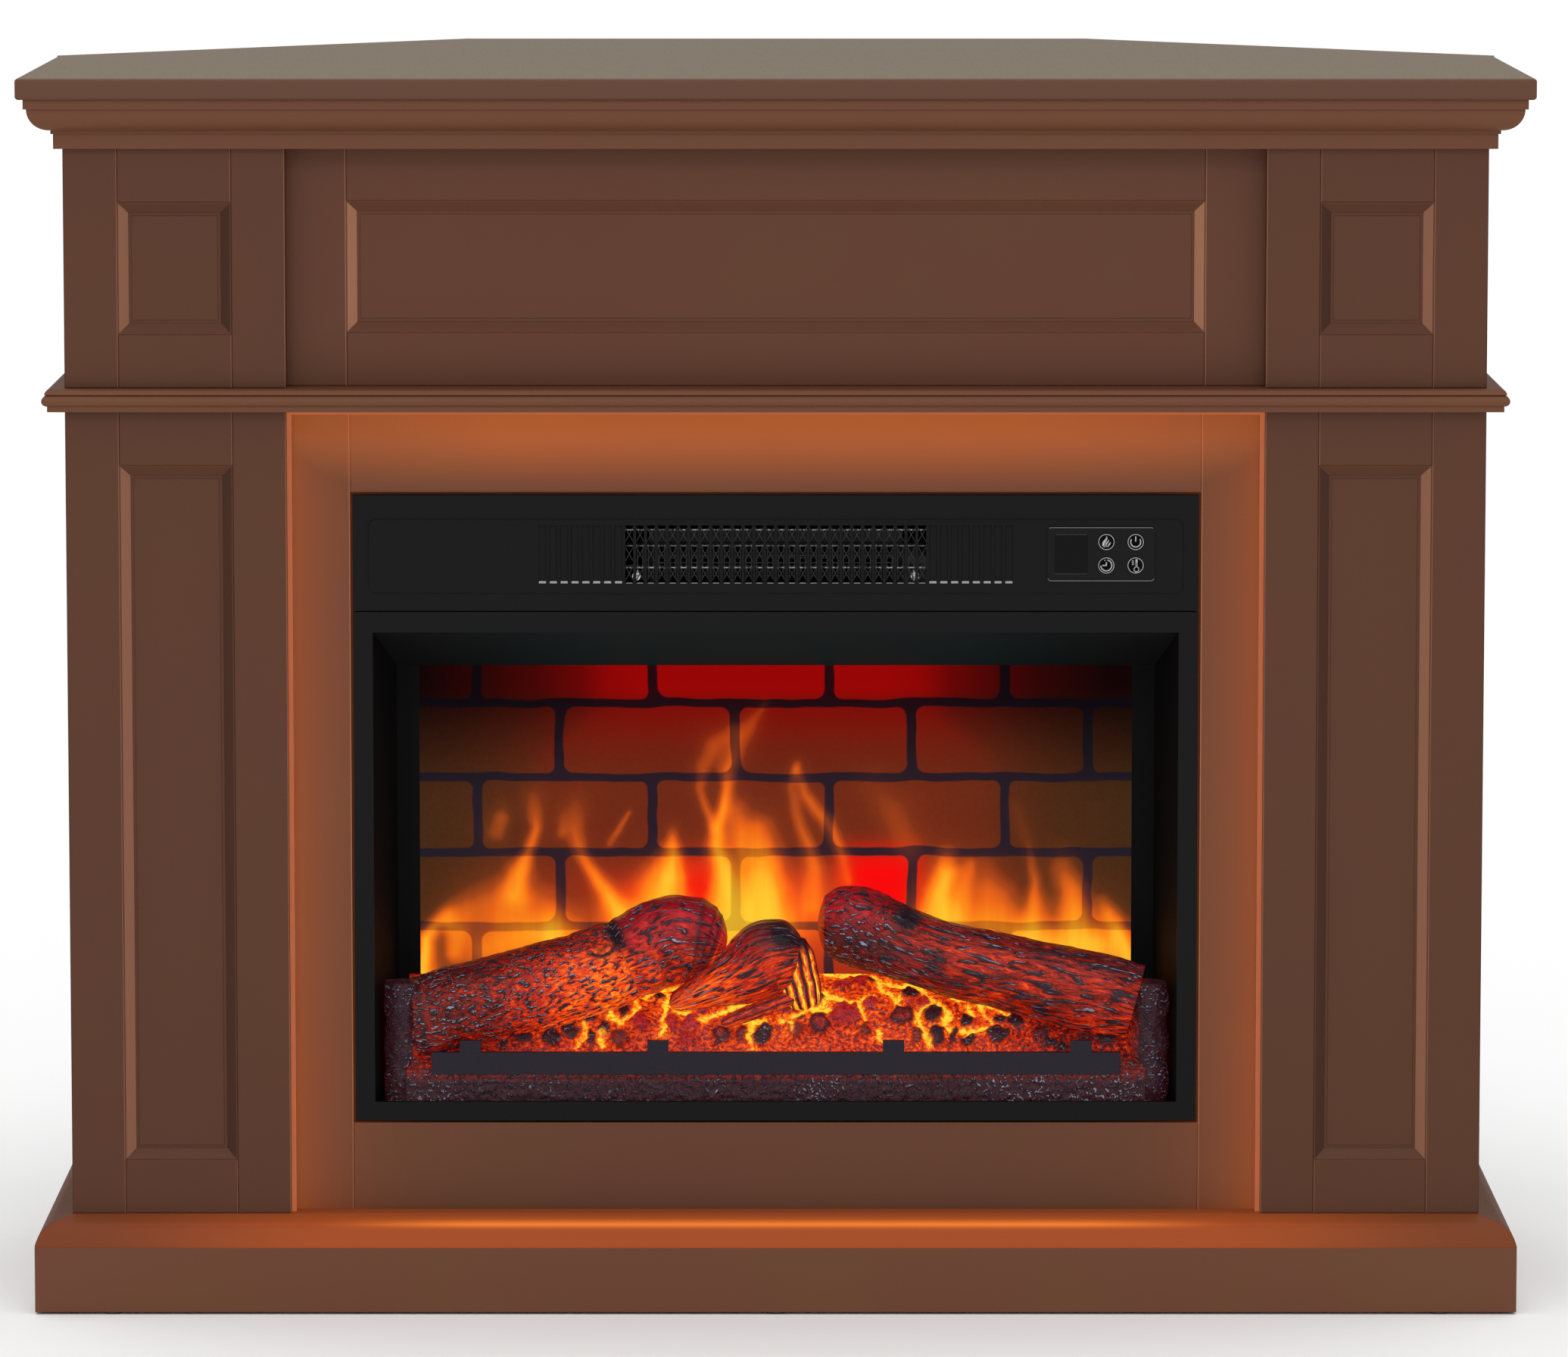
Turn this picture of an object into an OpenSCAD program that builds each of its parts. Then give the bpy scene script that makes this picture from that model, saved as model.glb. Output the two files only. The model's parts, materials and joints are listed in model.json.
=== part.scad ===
// Corner fireplace: a moulded board mantel with a truncated-corner top, and an electric
// log-effect insert. Millimetres, +Z up, front towards -Y, origin under the middle of the box.
// Inside the modules y is the depth behind the front edge of the top; placed() centres it.

/* [Overall] */
// Width of the top
top_w = 1262; // [1180:1:1400]
// Depth of the top from its front edge to the seam
top_d = 422; // [400:1:480]
// Width of the flat back of the corner piece
back_w = 568; // [520:1:700]
// Thickness of the top
top_t = 18; // [15:1:30]
// Overhang of the top beyond the body, front and sides
overhang = 36; // [34:1:50]
// Thickness of the cabinet boards
board_t = 18; // [15:1:20]

/* [Heights] */
// Height of the plinth boards
plinth_h = 57; // [50:1:80]
// Height of the moulded cap on the plinth
cap_h = 24; // [22:1:32]
// Height of the pilasters below the shelf
lower_h = 681.5; // [678:0.5:720]
// Thickness of the shelf moulding
shelf_t = 19; // [18.5:0.5:24]
// Height of the pilasters above the shelf
upper_h = 200.5; // [160:0.5:240]
// Height of the crown moulding
crown_h = 42; // [40:1:52]
// Thickness of the floor pads
pad_t = 2; // [1:0.5:5]

/* [Pilasters and panels] */
// Width of the set-back stile that shows beside the insert
side_stile_w = 52; // [40:1:60]
// Width of a pilaster's stile
stile_w = 45; // [30:1:55]
// Height of the rails above the shelf
rail_h = 45; // [30:1:60]
// Height of the pilaster rails below the shelf
lower_rail_h = 46; // [30:1:60]
// Setback of the recessed front behind the pilasters
recess_set = 22; // [20:1:24]
// Chamfer on the edges of stiles and rails
ease = 0.8; // [0.4:0.1:1.5]
// Gap left at a mitre or butt joint between two lengths of moulding
joint_gap = 0.2; // [0.1:0.1:0.5]
// Width of a panel's bevel
bevel_w = 8; // [4:0.5:12]
// Depth of a panel's field
field_deep = 6; // [3:0.5:9]
// Width of the fine groove inside the bevel
quirk_w = 2.6; // [1.5:0.1:4]

/* [Mouldings] */
// Radius of the crown's ovolo
ovolo_r = 18.5; // [14:0.5:20]
// Height of the crown's top step
step_h = 8; // [5:0.5:10]
// Setback of the crown's step from the edge of the top
step_set = 6; // [4:0.5:8]
// Reach of the crown's flat band beyond the body
band_out = 7; // [4:0.5:9]
// Height of the crown's flat band
band_h = 12.5; // [8:0.5:13]
// Reach of the shelf's nose beyond the body
nose_out = 18; // [16:0.5:26]
// Radius of the shelf's nose
nose_r = 4.5; // [3:0.1:5]
// Radius of the shelf's upper ovolo
shelf_ovolo_r = 4.6; // [3:0.1:4.6]
// Reach of the plinth beyond the body
plinth_out = 30; // [26:0.5:34]
// Reach of the plinth cap's arris beyond the body
arris_out = 19.5; // [16:0.5:22]
// Height of the plinth cap's arris
arris_h = 17.6; // [14:0.1:18]
// Edge radius of the top
edge_r = 3; // [1:0.5:6]

/* [Insert] */
// Width of the insert's front
insert_w = 712; // [690:1:730]
// Height of the insert's front
insert_h = 533; // [522:1:536]
// Gap between the insert and the surround, each side
insert_gap = 2; // [1:0.5:4]
// Height of the opening's sill above the floor
sill_z = 155; // [150:1:165]
// Depth of the insert behind its front
insert_deep = 190; // [186:1:230]
// Setback of the insert's front from the recessed front
insert_set = 2; // [0.5:0.5:4]
// Sheet thickness of the insert
sheet = 1.5; // [1:0.1:2]
// Height of the heater's front
fascia_h = 98; // [90:1:100]
// Side border of the lower frame
border_w = 16.5; // [14:0.5:22]
// Top and bottom border of the lower frame
border_h = 16; // [14:0.5:22]
// Number of slots in the heater's front
slots = 44; // [36:2:46]
// Number of slots at each end that are pressed but not cut
blind = 8; // [4:1:12]
// Pitch of the slots
slot_pitch = 9.13; // [8.5:0.01:9.3]
// Width of a slot
slot_w = 6.6; // [4:0.1:7]
// Height of a slot
slot_h = 49; // [40:1:52]
// Height of the pressed relief
relief_h = 62; // [58:1:68]
// Width of the pressed relief
relief_w = 685; // [680:1:690]
// Reach of the pressed relief
relief_out = 1.2; // [0.6:0.1:1.8]

/* [Controls] */
// Width of the control bezel
bezel_w = 90.4; // [86:0.1:96]
// Height of the control bezel
bezel_h = 46; // [45:0.5:50]
// Distance of the bezel's middle from the insert's middle
bezel_x = 273.7; // [260:0.1:276]
// Height of the bezel's middle above the middle of the relief
bezel_up = 2; // [-3:0.1:3]
// Radius of a button
button_r = 6.9; // [5:0.1:7.2]
// Travel of a button
button_travel = 0.8; // [0.5:0.1:1]
// Gap around a button
button_gap = 0.3; // [0.2:0.05:0.5]

/* [Fire chamber] */
// Depth of the fire chamber
chamber_d = 100; // [98:1:110]
// Narrowing of the chamber on each side towards the back
splay = 15.5; // [8:0.5:24]
// Fall of the chamber's ceiling towards the back
ceiling_fall = 40; // [30:0.5:60]
// Width of the flame screen
screen_w = 612; // [590:1:620]
// Thickness of the flame screen
screen_t = 3; // [2:0.5:4]
// Radius of the log at the left
left_log_r = 36; // [30:1:37]
// Radius of the log at the right
right_log_r = 34; // [28:1:35]
// Clearance between nested castings
nest_gap = 0.4; // [0.3:0.1:0.8]

/* [Moving parts] */
// Radius of the blower wheel
wheel_r = 24; // [18:0.5:24]
// Length of the blower wheel
wheel_l = 200; // [150:1:210]
// Radius of the blower shaft
shaft_r = 2.5; // [2:0.1:3]
// Radial running clearance of the shafts
run_gap = 0.06; // [0.02:0.01:0.09]
// Length of the flame rotor
rotor_l = 560; // [480:1:580]
// Radius of the flame rotor over its fins
rotor_r = 18; // [12:0.5:19]
// Radius of the flame rotor's pins
pin_r = 2; // [1.5:0.1:2.5]

/* [Hidden] */
$fn = 48;
eps = 0.01;
far = 1000;

overall_d = top_d + (top_w - back_w) / 2;
body_w = top_w - 2 * overhang;
hw = body_w / 2;

z_cap0 = plinth_h;
z_cap1 = z_cap0 + cap_h;
z_shelf0 = z_cap1 + lower_h;
z_shelf1 = z_shelf0 + shelf_t;
z_crown0 = z_shelf1 + upper_h;
z_top0 = z_crown0 + crown_h;
z_top1 = z_top0 + top_t;

face_y = overhang;
recess_y = face_y + recess_set;
surround_back = recess_y + board_t;
insert_y = recess_y + insert_set;
body_back = top_d - 10;
pilaster_in = insert_w / 2 + insert_gap + side_stile_w;
stile_out_in = hw - stile_w;
stile_in_out = pilaster_in + stile_w;

step_out = overhang - step_set;
ovolo_back = step_out - 2.5 - ovolo_r;
plinth_y = face_y - plinth_out;
plinth_x = hw + plinth_out;
base_back = top_d - (overhang - plinth_out);
wall_gap = 12;
stretcher_y = body_back - 36;

opening_w = insert_w + 2 * insert_gap;
opening_hw = opening_w / 2;
opening_z1 = sill_z + insert_h + 3 + insert_gap / 2;
insert_z0 = sill_z + 1.5;
insert_z1 = insert_z0 + insert_h;
insert_hw = insert_w / 2;
fascia_z0 = insert_z1 - fascia_h;
seam = 1;
frame_z1 = fascia_z0 - seam;
mouth_hw = insert_hw - border_w;
mouth_z0 = insert_z0 + border_h;
mouth_z1 = frame_z1 - border_h - 1.5;
lip_d = 6;
box_y0 = insert_y + lip_d;
box_y1 = insert_y + insert_deep;
box_hw = insert_hw - 10;
box_z0 = insert_z0 + 3.5;
box_z1 = insert_z1 - 3.5;
deck_z = fascia_z0 + 2;
floor_z = box_z0 + sheet;

relief_z = (fascia_z0 + insert_z1) / 2 - 2.8;
slot_z = relief_z + 1.6;
relief_y = insert_y - relief_out;
bezel_t = 2;
bezel_y = relief_y - bezel_t;
bezel_z = relief_z + bezel_up;
window_w = 27.4;
window_h = 34.2;
window_x = bezel_x - 25.1;
button_x = [bezel_x + 4.4, bezel_x + 29];
button_z = [bezel_z + 10.5, bezel_z - 9.3];
board_y = insert_y + 6;
board_thick = 1.6;

chamber_y0 = box_y0;
chamber_y1 = insert_y + lip_d + chamber_d;
liner_t = 1;
back_hw = mouth_hw - splay;
screen_z0 = mouth_z0 + 4;
screen_z1 = mouth_z1 - ceiling_fall;
tray_z = mouth_z0 - 4;

mesh_hw = (slots / 2 - blind) * slot_pitch + 6;
mesh_z0 = slot_z - slot_h / 2 - 4;
mesh_z1 = slot_z + slot_h / 2 + 4;
mesh_t = 2;
mesh_y = insert_y + sheet;
heater_y0 = mesh_y + mesh_t;
heater_y1 = heater_y0 + 29;
blower_wall = 4;
cavity_r = wheel_r + 3;
cavity_hw = wheel_l / 2 + 3;
blower_y = heater_y1 + 4 + cavity_r;
blower_z = deck_z + sheet + 4 + cavity_r + 2;
blower_hw = cavity_hw + blower_wall;
motor_r = 22;
motor_l = 30;

rotor_y = chamber_y1 + 34;
rotor_z = floor_z + 44;
plate_t = 2;
rotor_plate_x = rotor_l / 2 + 6;
rotor_motor_l = 22;

brown = [0.30, 0.19, 0.14];
top_brown = [0.46, 0.40, 0.33];
black_steel = [0.12, 0.12, 0.12];

// ---- helpers ----

module placed() { translate([0, -overall_d / 2, 0]) children(); }

module both() {
    children();
    mirror([1, 0, 0]) children();
}

module left() { mirror([1, 0, 0]) children(); }

// A box given by its limits on each axis.
module limits(x, y, z) {
    translate([x[0], y[0], z[0]]) cube([x[1] - x[0], y[1] - y[0], z[1] - z[0]]);
}

// Runs a profile of (reach, height) along the front, from one mitre to the other.
module front_run(inward) {
    m = overhang + 10;
    g = joint_gap;
    intersection() {
        translate([-hw - m, face_y, 0]) mirror([0, 1, 0]) rotate([90, 0, 90])
            linear_extrude(2 * (hw + m)) children();
        linear_extrude(far * 2) polygon([[g - hw - m, face_y - m], [hw + m - g, face_y - m],
            [hw - inward - g, face_y + inward], [-hw + inward + g, face_y + inward]]);
    }
}

// Runs the same profile back along the right side, from the mitre to the depth given.
module side_run(inward, back) {
    m = overhang + 10;
    intersection() {
        translate([hw, back, 0]) rotate([90, 0, 0]) linear_extrude(back) children();
        linear_extrude(far * 2) polygon([[hw - inward, face_y + inward],
            [hw + m, face_y - m], [hw + m, back], [hw - inward, back]]);
    }
}

// A board facing the front, its front edges eased.
module eased_board(x, z, y, t = board_t, e = ease) {
    intersection() {
        translate([0, 0, z[0]]) linear_extrude(z[1] - z[0]) polygon([[x[0] + e, y],
            [x[1] - e, y], [x[1], y + e], [x[1], y + t], [x[0], y + t], [x[0], y + e]]);
        translate([x[0], 0, 0]) rotate([90, 0, 90]) linear_extrude(x[1] - x[0])
            polygon([[y, z[0] + e], [y + e, z[0]], [y + t, z[0]], [y + t, z[1]],
                [y + e, z[1]], [y, z[1] - e]]);
    }
}

// A pocket in a front face whose four sides slope inwards.
module pocket(x, z, y, deep, slope) {
    intersection() {
        translate([0, 0, z[0]]) linear_extrude(z[1] - z[0]) polygon([[x[0], y - 1],
            [x[1], y - 1], [x[1], y], [x[1] - slope, y + deep], [x[0] + slope, y + deep],
            [x[0], y]]);
        translate([x[0], 0, 0]) rotate([90, 0, 90]) linear_extrude(x[1] - x[0])
            polygon([[y - 1, z[0]], [y, z[0]], [y + deep, z[0] + slope],
                [y + deep, z[1] - slope], [y, z[1]], [y - 1, z[1]]]);
    }
}

// A recessed panel with a bevelled border and a fine groove inside it.
module recessed_panel(x, z, y, t = board_t) {
    lip = 1;
    rim = bevel_w + lip;
    f = y + lip;
    quirk_deep = 0.6;
    difference() {
        limits(x, [f, y + t], z);
        pocket([x[0] + lip, x[1] - lip], [z[0] + lip, z[1] - lip], f, field_deep, bevel_w);
        difference() {
            limits([x[0] + rim, x[1] - rim], [f, f + field_deep + quirk_deep],
                [z[0] + rim, z[1] - rim]);
            limits([x[0] + rim + quirk_w, x[1] - rim - quirk_w], [f - 1, far],
                [z[0] + rim + quirk_w, z[1] - rim - quirk_w]);
        }
    }
}

// A flat plate with round corners, from depth y to y + t.
module round_plate(x, z, y, t, r) {
    translate([0, y + t, 0]) rotate([90, 0, 0]) linear_extrude(t) {
        translate([x[0] + r, z[0]]) square([x[1] - x[0] - 2 * r, z[1] - z[0]]);
        translate([x[0], z[0] + r]) square([x[1] - x[0], z[1] - z[0] - 2 * r]);
        for (i = x, j = z)
            translate([i == x[0] ? i + r : i - r, j == z[0] ? j + r : j - r]) circle(r);
    }
}

module rod_x(x, y, z, r) {
    translate([x[0], y, z]) rotate([0, 90, 0]) cylinder(r = r, h = x[1] - x[0]);
}

module rod_y(x, y, z, r) {
    translate([x, y[1], z]) rotate([90, 0, 0]) cylinder(r = r, h = y[1] - y[0]);
}

// ---- top ----

plate_w = 40;
plate_l = 52;
plate_x = 430;
screw_r = 2;
screw_in = 12;
screw_spots = [for (s = [-1, 1], dx = [-12, 12], dy = [-17, 17])
    [s * plate_x + dx, top_d + dy]];

module screw_holes() {
    for (p = screw_spots)
        translate([p[0], p[1], z_top0 - 1]) cylinder(r = screw_r, h = screw_in + 1);
}

// A profile of the top's thickness with rounded long edges, w wide.
module rounded_bar(w, t, r) {
    translate([r, 0]) square([w - 2 * r, t]);
    translate([0, r]) square([w, t - 2 * r]);
    for (i = [r, w - r], j = [r, t - r]) translate([i, j]) circle(r);
}

module mantel_top() {
    color(top_brown) placed() difference() {
        intersection() {
            translate([-top_w / 2, top_d, z_top0]) rotate([90, 0, 0])
                linear_extrude(top_d) rounded_bar(top_w, top_t, edge_r);
            translate([-top_w / 2, 0, z_top0]) rotate([90, 0, 90])
                linear_extrude(top_w) intersection() {
                    rounded_bar(top_d + 2 * edge_r, top_t, edge_r);
                    square([top_d, top_t]);
                }
        }
        screw_holes();
    }
}

module top_corner_extension() {
    color(top_brown) placed() difference() {
        translate([0, 0, z_top0]) linear_extrude(top_t) polygon([[-top_w / 2, top_d],
            [top_w / 2, top_d], [back_w / 2, overall_d], [-back_w / 2, overall_d]]);
        screw_holes();
    }
}

// The crown's section: flat band, neck, ovolo and step.
module crown_section() {
    ovolo_z = crown_h - step_h;
    translate([0, z_crown0]) {
        square([band_out, band_h + eps]);
        translate([0, band_h]) square([ovolo_back, ovolo_z - band_h]);
        intersection() {
            translate([ovolo_back, ovolo_z]) circle(ovolo_r);
            translate([0, ovolo_z - ovolo_r]) square([ovolo_back + ovolo_r, ovolo_r]);
        }
        translate([0, ovolo_z]) square([step_out, step_h]);
    }
}

module crown_front() { color(brown) placed() front_run(0) crown_section(); }

module crown_returns() { color(brown) placed() both() side_run(0, body_back) crown_section(); }

module crown_backer() {
    color(brown) placed()
        limits([-pilaster_in, pilaster_in], [face_y, recess_y], [z_crown0, z_top0]);
}

// ---- pilasters, frieze and surround ----

// How far a board behind the pilasters reaches in behind them.
lap = 12;

module pilaster_stiles() {
    for (z = [[z_shelf1, z_top0], [z_cap1, z_shelf0]]) {
        eased_board([stile_out_in, hw], z, face_y);
        eased_board([pilaster_in, stile_in_out], z, face_y);
        limits([pilaster_in, pilaster_in + board_t], [face_y + board_t - eps, recess_y], z);
    }
}

module pilaster_rails() {
    x = [stile_in_out, stile_out_in];
    eased_board(x, [z_crown0 - rail_h, z_top0], face_y);
    eased_board(x, [z_shelf1, z_shelf1 + rail_h], face_y);
    eased_board(x, [z_shelf0 - lower_rail_h, z_shelf0], face_y);
    eased_board(x, [z_cap1, z_cap1 + lower_rail_h], face_y);
}

module pilaster_panels() {
    x = [stile_in_out, stile_out_in];
    recessed_panel(x, [z_shelf1 + rail_h, z_crown0 - rail_h], face_y);
    recessed_panel(x, [z_cap1 + lower_rail_h, z_shelf0 - lower_rail_h], face_y);
}

module pilaster_stiles_left() { color(brown) placed() left() pilaster_stiles(); }

module pilaster_stiles_right() { color(brown) placed() pilaster_stiles(); }

module pilaster_rails_left() { color(brown) placed() left() pilaster_rails(); }

module pilaster_rails_right() { color(brown) placed() pilaster_rails(); }

module pilaster_panels_left() { color(brown) placed() left() pilaster_panels(); }

module pilaster_panels_right() { color(brown) placed() pilaster_panels(); }

frieze_in = opening_hw + 2;

module frieze_stiles() {
    color(brown) placed() both()
        eased_board([frieze_in, pilaster_in + lap], [z_shelf1, z_top0], recess_y);
}

module frieze_rails() {
    color(brown) placed() {
        eased_board([-frieze_in, frieze_in], [z_crown0 - rail_h, z_top0], recess_y);
        eased_board([-frieze_in, frieze_in], [z_shelf1, z_shelf1 + rail_h], recess_y);
    }
}

module frieze_panel() {
    color(brown) placed() recessed_panel([-frieze_in, frieze_in],
        [z_shelf1 + rail_h, z_crown0 - rail_h], recess_y);
}

module bracket_screw_holes() {
    for (z = bracket_z) rod_y(bracket_hole_x, [surround_back - screw_in, far], z, screw_r);
}

// The stop round the opening, behind the insert's flange.
stop_gap = 1.5;
stop_hw = box_hw + stop_gap;
stop_y = [box_y0 + sheet + 1, surround_back];

module surround_stiles() {
    color(brown) placed() both() difference() {
        union() {
            eased_board([opening_hw, pilaster_in], [z_cap0, z_shelf0], recess_y);
            limits([pilaster_in - eps, pilaster_in + lap], [recess_y, surround_back],
                [z_cap1, z_shelf0]);
            limits([stop_hw, opening_hw + eps], stop_y, [sill_z, opening_z1]);
        }
        bracket_screw_holes();
    }
}

module surround_rails() {
    x = [joint_gap - stop_hw, stop_hw - joint_gap];
    color(brown) placed() {
        eased_board([-opening_hw, opening_hw], [opening_z1, z_shelf0], recess_y);
        limits(x, stop_y, [box_z1 + stop_gap, opening_z1 + eps]);
        eased_board([-opening_hw, opening_hw], [z_cap0, sill_z], recess_y);
        limits(x, stop_y, [sill_z - eps, box_z0 - stop_gap]);
    }
}

// ---- shelf ----

module shelf_section() {
    ovolo_z = shelf_t - shelf_ovolo_r;
    nose_z = (ovolo_z + 4.2) / 2;
    translate([0, z_shelf0]) {
        square([nose_out - nose_r, ovolo_z]);
        translate([nose_out - nose_r, nose_z]) circle(nose_r);
        shelf_top = nose_out - nose_r - 2.5;
        translate([0, ovolo_z]) square([shelf_top, shelf_ovolo_r]);
        intersection() {
            translate([shelf_top, ovolo_z]) circle(shelf_ovolo_r);
            translate([shelf_top - eps, ovolo_z])
                square([shelf_ovolo_r + eps, shelf_ovolo_r]);
        }
    }
}

module mid_shelf() {
    color(brown) placed() {
        front_run(0) shelf_section();
        limits([-hw, hw], [face_y, face_y + board_t], [z_shelf0, z_shelf1]);
        limits([-pilaster_in, pilaster_in], [face_y, surround_back], [z_shelf0, z_shelf1]);
        both() translate([joint_gap, 0, 0]) side_run(0, body_back) shelf_section();
    }
}

// ---- body and plinth ----

module side_panel() {
    limits([hw - board_t, hw], [face_y + board_t, body_back], [z_cap1, z_top0]);
}

module side_panel_left() { color(brown) placed() left() side_panel(); }

module side_panel_right() { color(brown) placed() side_panel(); }

module plinth_front() {
    color(brown) placed() linear_extrude_from(pad_t, plinth_h) polygon([
        [-plinth_x, plinth_y], [plinth_x, plinth_y],
        [plinth_x - board_t, plinth_y + board_t],
        [-plinth_x + board_t, plinth_y + board_t]]);
}

module linear_extrude_from(z0, z1) {
    translate([0, 0, z0]) linear_extrude(z1 - z0) children();
}

module plinth_returns() {
    color(brown) placed() both() linear_extrude_from(pad_t, plinth_h) polygon([
        [plinth_x, plinth_y], [plinth_x, base_back], [plinth_x - board_t, base_back],
        [plinth_x - board_t, plinth_y + board_t]]);
}

module cap_section() {
    fall = (plinth_out - arris_out) / 10.5;
    rise = arris_h / 17.6;
    translate([0, z_cap0]) polygon([[-recess_set, 0], [plinth_out, 0], [plinth_out, 1.2],
        [plinth_out - 0.9 * fall, 4.3 * rise], [plinth_out - 2.4 * fall, 8.2 * rise],
        [plinth_out - 4.6 * fall, 11.9 * rise], [plinth_out - 7.4 * fall, 15.2 * rise],
        [arris_out, arris_h], [arris_out - 1.2, arris_h + 1.1], [arris_out - 4, arris_h + 2.2],
        [5.5, cap_h - 1.6], [0, cap_h], [-recess_set, cap_h]]);
}

module plinth_cap() {
    color(brown) placed() {
        front_run(recess_set) cap_section();
        both() side_run(recess_set, base_back) cap_section();
    }
}

module base_board() {
    color(brown) placed() limits([board_t - plinth_x, plinth_x - board_t],
        [plinth_y + board_t, base_back - board_t], [z_cap0 - board_t, z_cap0]);
}

// Corners of the base behind the body, drawn in from the walls by g and then by inset.
function base_diag(inset) = top_w / 2 + top_d - (wall_gap + inset) * sqrt(2);
function base_y(inset) = overall_d - wall_gap - inset;
function front_corner(inset, y) = [base_diag(inset) - y, y];
function back_corner(inset) = [base_diag(inset) - base_y(inset), base_y(inset)];
function flip(p) = [-p[0], p[1]];

module base_corner_extension() {
    i = board_t;
    corner = front_corner(i, base_back);
    color(brown) placed() linear_extrude_from(z_cap0 - board_t, z_cap0)
        polygon([flip(corner), corner, back_corner(i), flip(back_corner(i))]);
}

module base_skirt() {
    i = board_t;
    y = base_back + joint_gap;
    g = [joint_gap, 0];
    color(brown) placed() {
        linear_extrude_from(pad_t, plinth_h) polygon([back_corner(0) - g,
            flip(back_corner(0) - g), flip(back_corner(i) - g), back_corner(i) - g]);
        both() linear_extrude_from(pad_t, plinth_h) polygon([front_corner(0, y),
            back_corner(0), back_corner(i), front_corner(i, y)]);
        limits([i - plinth_x, plinth_x - i], [base_back - i, base_back], [pad_t, plinth_h]);
    }
}

post_w = 40;
post_x = 220;

module rear_uprights() {
    y = base_y(board_t);
    color(brown) placed() both()
        limits([post_x, post_x + post_w], [y - post_w, y], [z_cap0, z_top0]);
}

stretcher_h = 100;

module rear_stretchers() {
    x = [board_t - hw, hw - board_t];
    y = [stretcher_y, stretcher_y + board_t];
    color(brown) placed() {
        limits(x, y, [z_top0 - stretcher_h, z_top0]);
        limits(x, y, [z_cap1, z_cap1 + stretcher_h / 2]);
    }
}

module extension_bearers() {
    color(brown) placed() both() limits([post_x, post_x + post_w],
        [stretcher_y + board_t, base_y(board_t) - post_w], [z_top0 - post_w, z_top0]);
}

platform_hw = opening_hw + 42;
platform_y1 = insert_y + insert_deep + 40;

module insert_platform() {
    color(brown) placed() {
        limits([-platform_hw, platform_hw], [surround_back, platform_y1],
            [box_z0 - board_t, box_z0]);
        both() limits([platform_hw - board_t, platform_hw], [surround_back, platform_y1],
            [z_cap0, box_z0 - board_t - joint_gap]);
    }
}

block_w = 30;

module corner_blocks() {
    b = block_w;
    z = [z_cap0 - board_t - b, z_cap0 - board_t];
    x1 = plinth_x - board_t;
    color(brown) placed() both() {
        limits([x1 - b, x1], [plinth_y + board_t, plinth_y + board_t + b], z);
        limits([x1 - b, x1], [base_back - board_t - b, base_back - board_t], z);
        x2 = front_corner(board_t, base_back)[0] - b;
        limits([x2 - b, x2], [base_back, base_back + b], z);
        limits([0, b], [plinth_y + board_t, plinth_y + board_t + b], z);
        limits([post_x - 2 * b, post_x - b], [base_y(board_t) - b, base_y(board_t)], z);
    }
}

module mending_plates() {
    color("silver") placed() difference() {
        for (s = [-1, 1]) limits([s * plate_x - plate_w / 2, s * plate_x + plate_w / 2],
            [top_d - plate_l / 2, top_d + plate_l / 2], [z_top0 - plate_t, z_top0]);
        for (p = screw_spots)
            translate([p[0], p[1], z_top0 - 5]) cylinder(r = screw_r + 0.2, h = 10);
    }
}

head_r = 4;
head_t = 2;
shank_gap = 0.1;

module assembly_screws() {
    color("silver") placed() {
        for (p = screw_spots) translate([p[0], p[1], z_top0 - plate_t - head_t]) {
            cylinder(r = head_r, h = head_t);
            cylinder(r = screw_r - shank_gap, h = head_t + plate_t + screw_in - 1);
        }
        both() for (z = bracket_z) {
            rod_y(bracket_hole_x, [surround_back - screw_in + 1, surround_back + plate_t + 1],
                z, screw_r - shank_gap);
            rod_y(bracket_hole_x, [surround_back + plate_t, surround_back + plate_t + head_t],
                z, head_r);
        }
    }
}

pad_r = 8;
pad_in = 65;
pad_spots = concat([for (s = [-1, 0, 1]) [s * (plinth_x - pad_in), plinth_y + board_t / 2]],
    [for (s = [-1, 1]) [s * (plinth_x - board_t / 2), base_back - pad_in / 2]],
    [for (s = [-1, 1]) [s * (post_x - pad_in / 2), base_y(board_t / 2)]]);

module floor_pads() {
    color("dimgray") placed()
        for (p = pad_spots) translate([p[0], p[1], 0]) cylinder(r = pad_r, h = pad_t);
}

// ---- light strips round the lower recess ----

led_w = 4;
led_y0 = face_y + 10;
led_y1 = recess_y;
channel_t = 1;

module led_channels() {
    color("silver") placed() {
        both() difference() {
            limits([pilaster_in - led_w, pilaster_in], [led_y0 + 2, led_y1],
                [z_cap1, z_shelf0 - led_w - joint_gap]);
            limits([pilaster_in - led_w + channel_t, pilaster_in - channel_t],
                [led_y0, led_y1 - channel_t], [z_cap1 - 1, z_shelf0]);
        }
        difference() {
            limits([-pilaster_in, pilaster_in], [led_y0 + 2, led_y1],
                [z_shelf0 - led_w, z_shelf0]);
            limits([-pilaster_in - 1, pilaster_in + 1], [led_y0, led_y1 - channel_t],
                [z_shelf0 - led_w + channel_t, z_shelf0 - channel_t]);
        }
    }
}

module led_diffusers() {
    color([1, 0.7, 0.4]) placed() {
        both() limits([pilaster_in - led_w, pilaster_in], [led_y0, led_y0 + 2],
            [z_cap1, z_shelf0 - led_w - joint_gap]);
        limits([-pilaster_in, pilaster_in], [led_y0, led_y0 + 2],
            [z_shelf0 - led_w, z_shelf0]);
    }
}

driver_l = 100;
driver_w = 55;
driver_h = 30;
driver_gap = 37;
driver_x = hw - board_t - driver_gap - driver_l;
driver_y = platform_y1 - 90;

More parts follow.
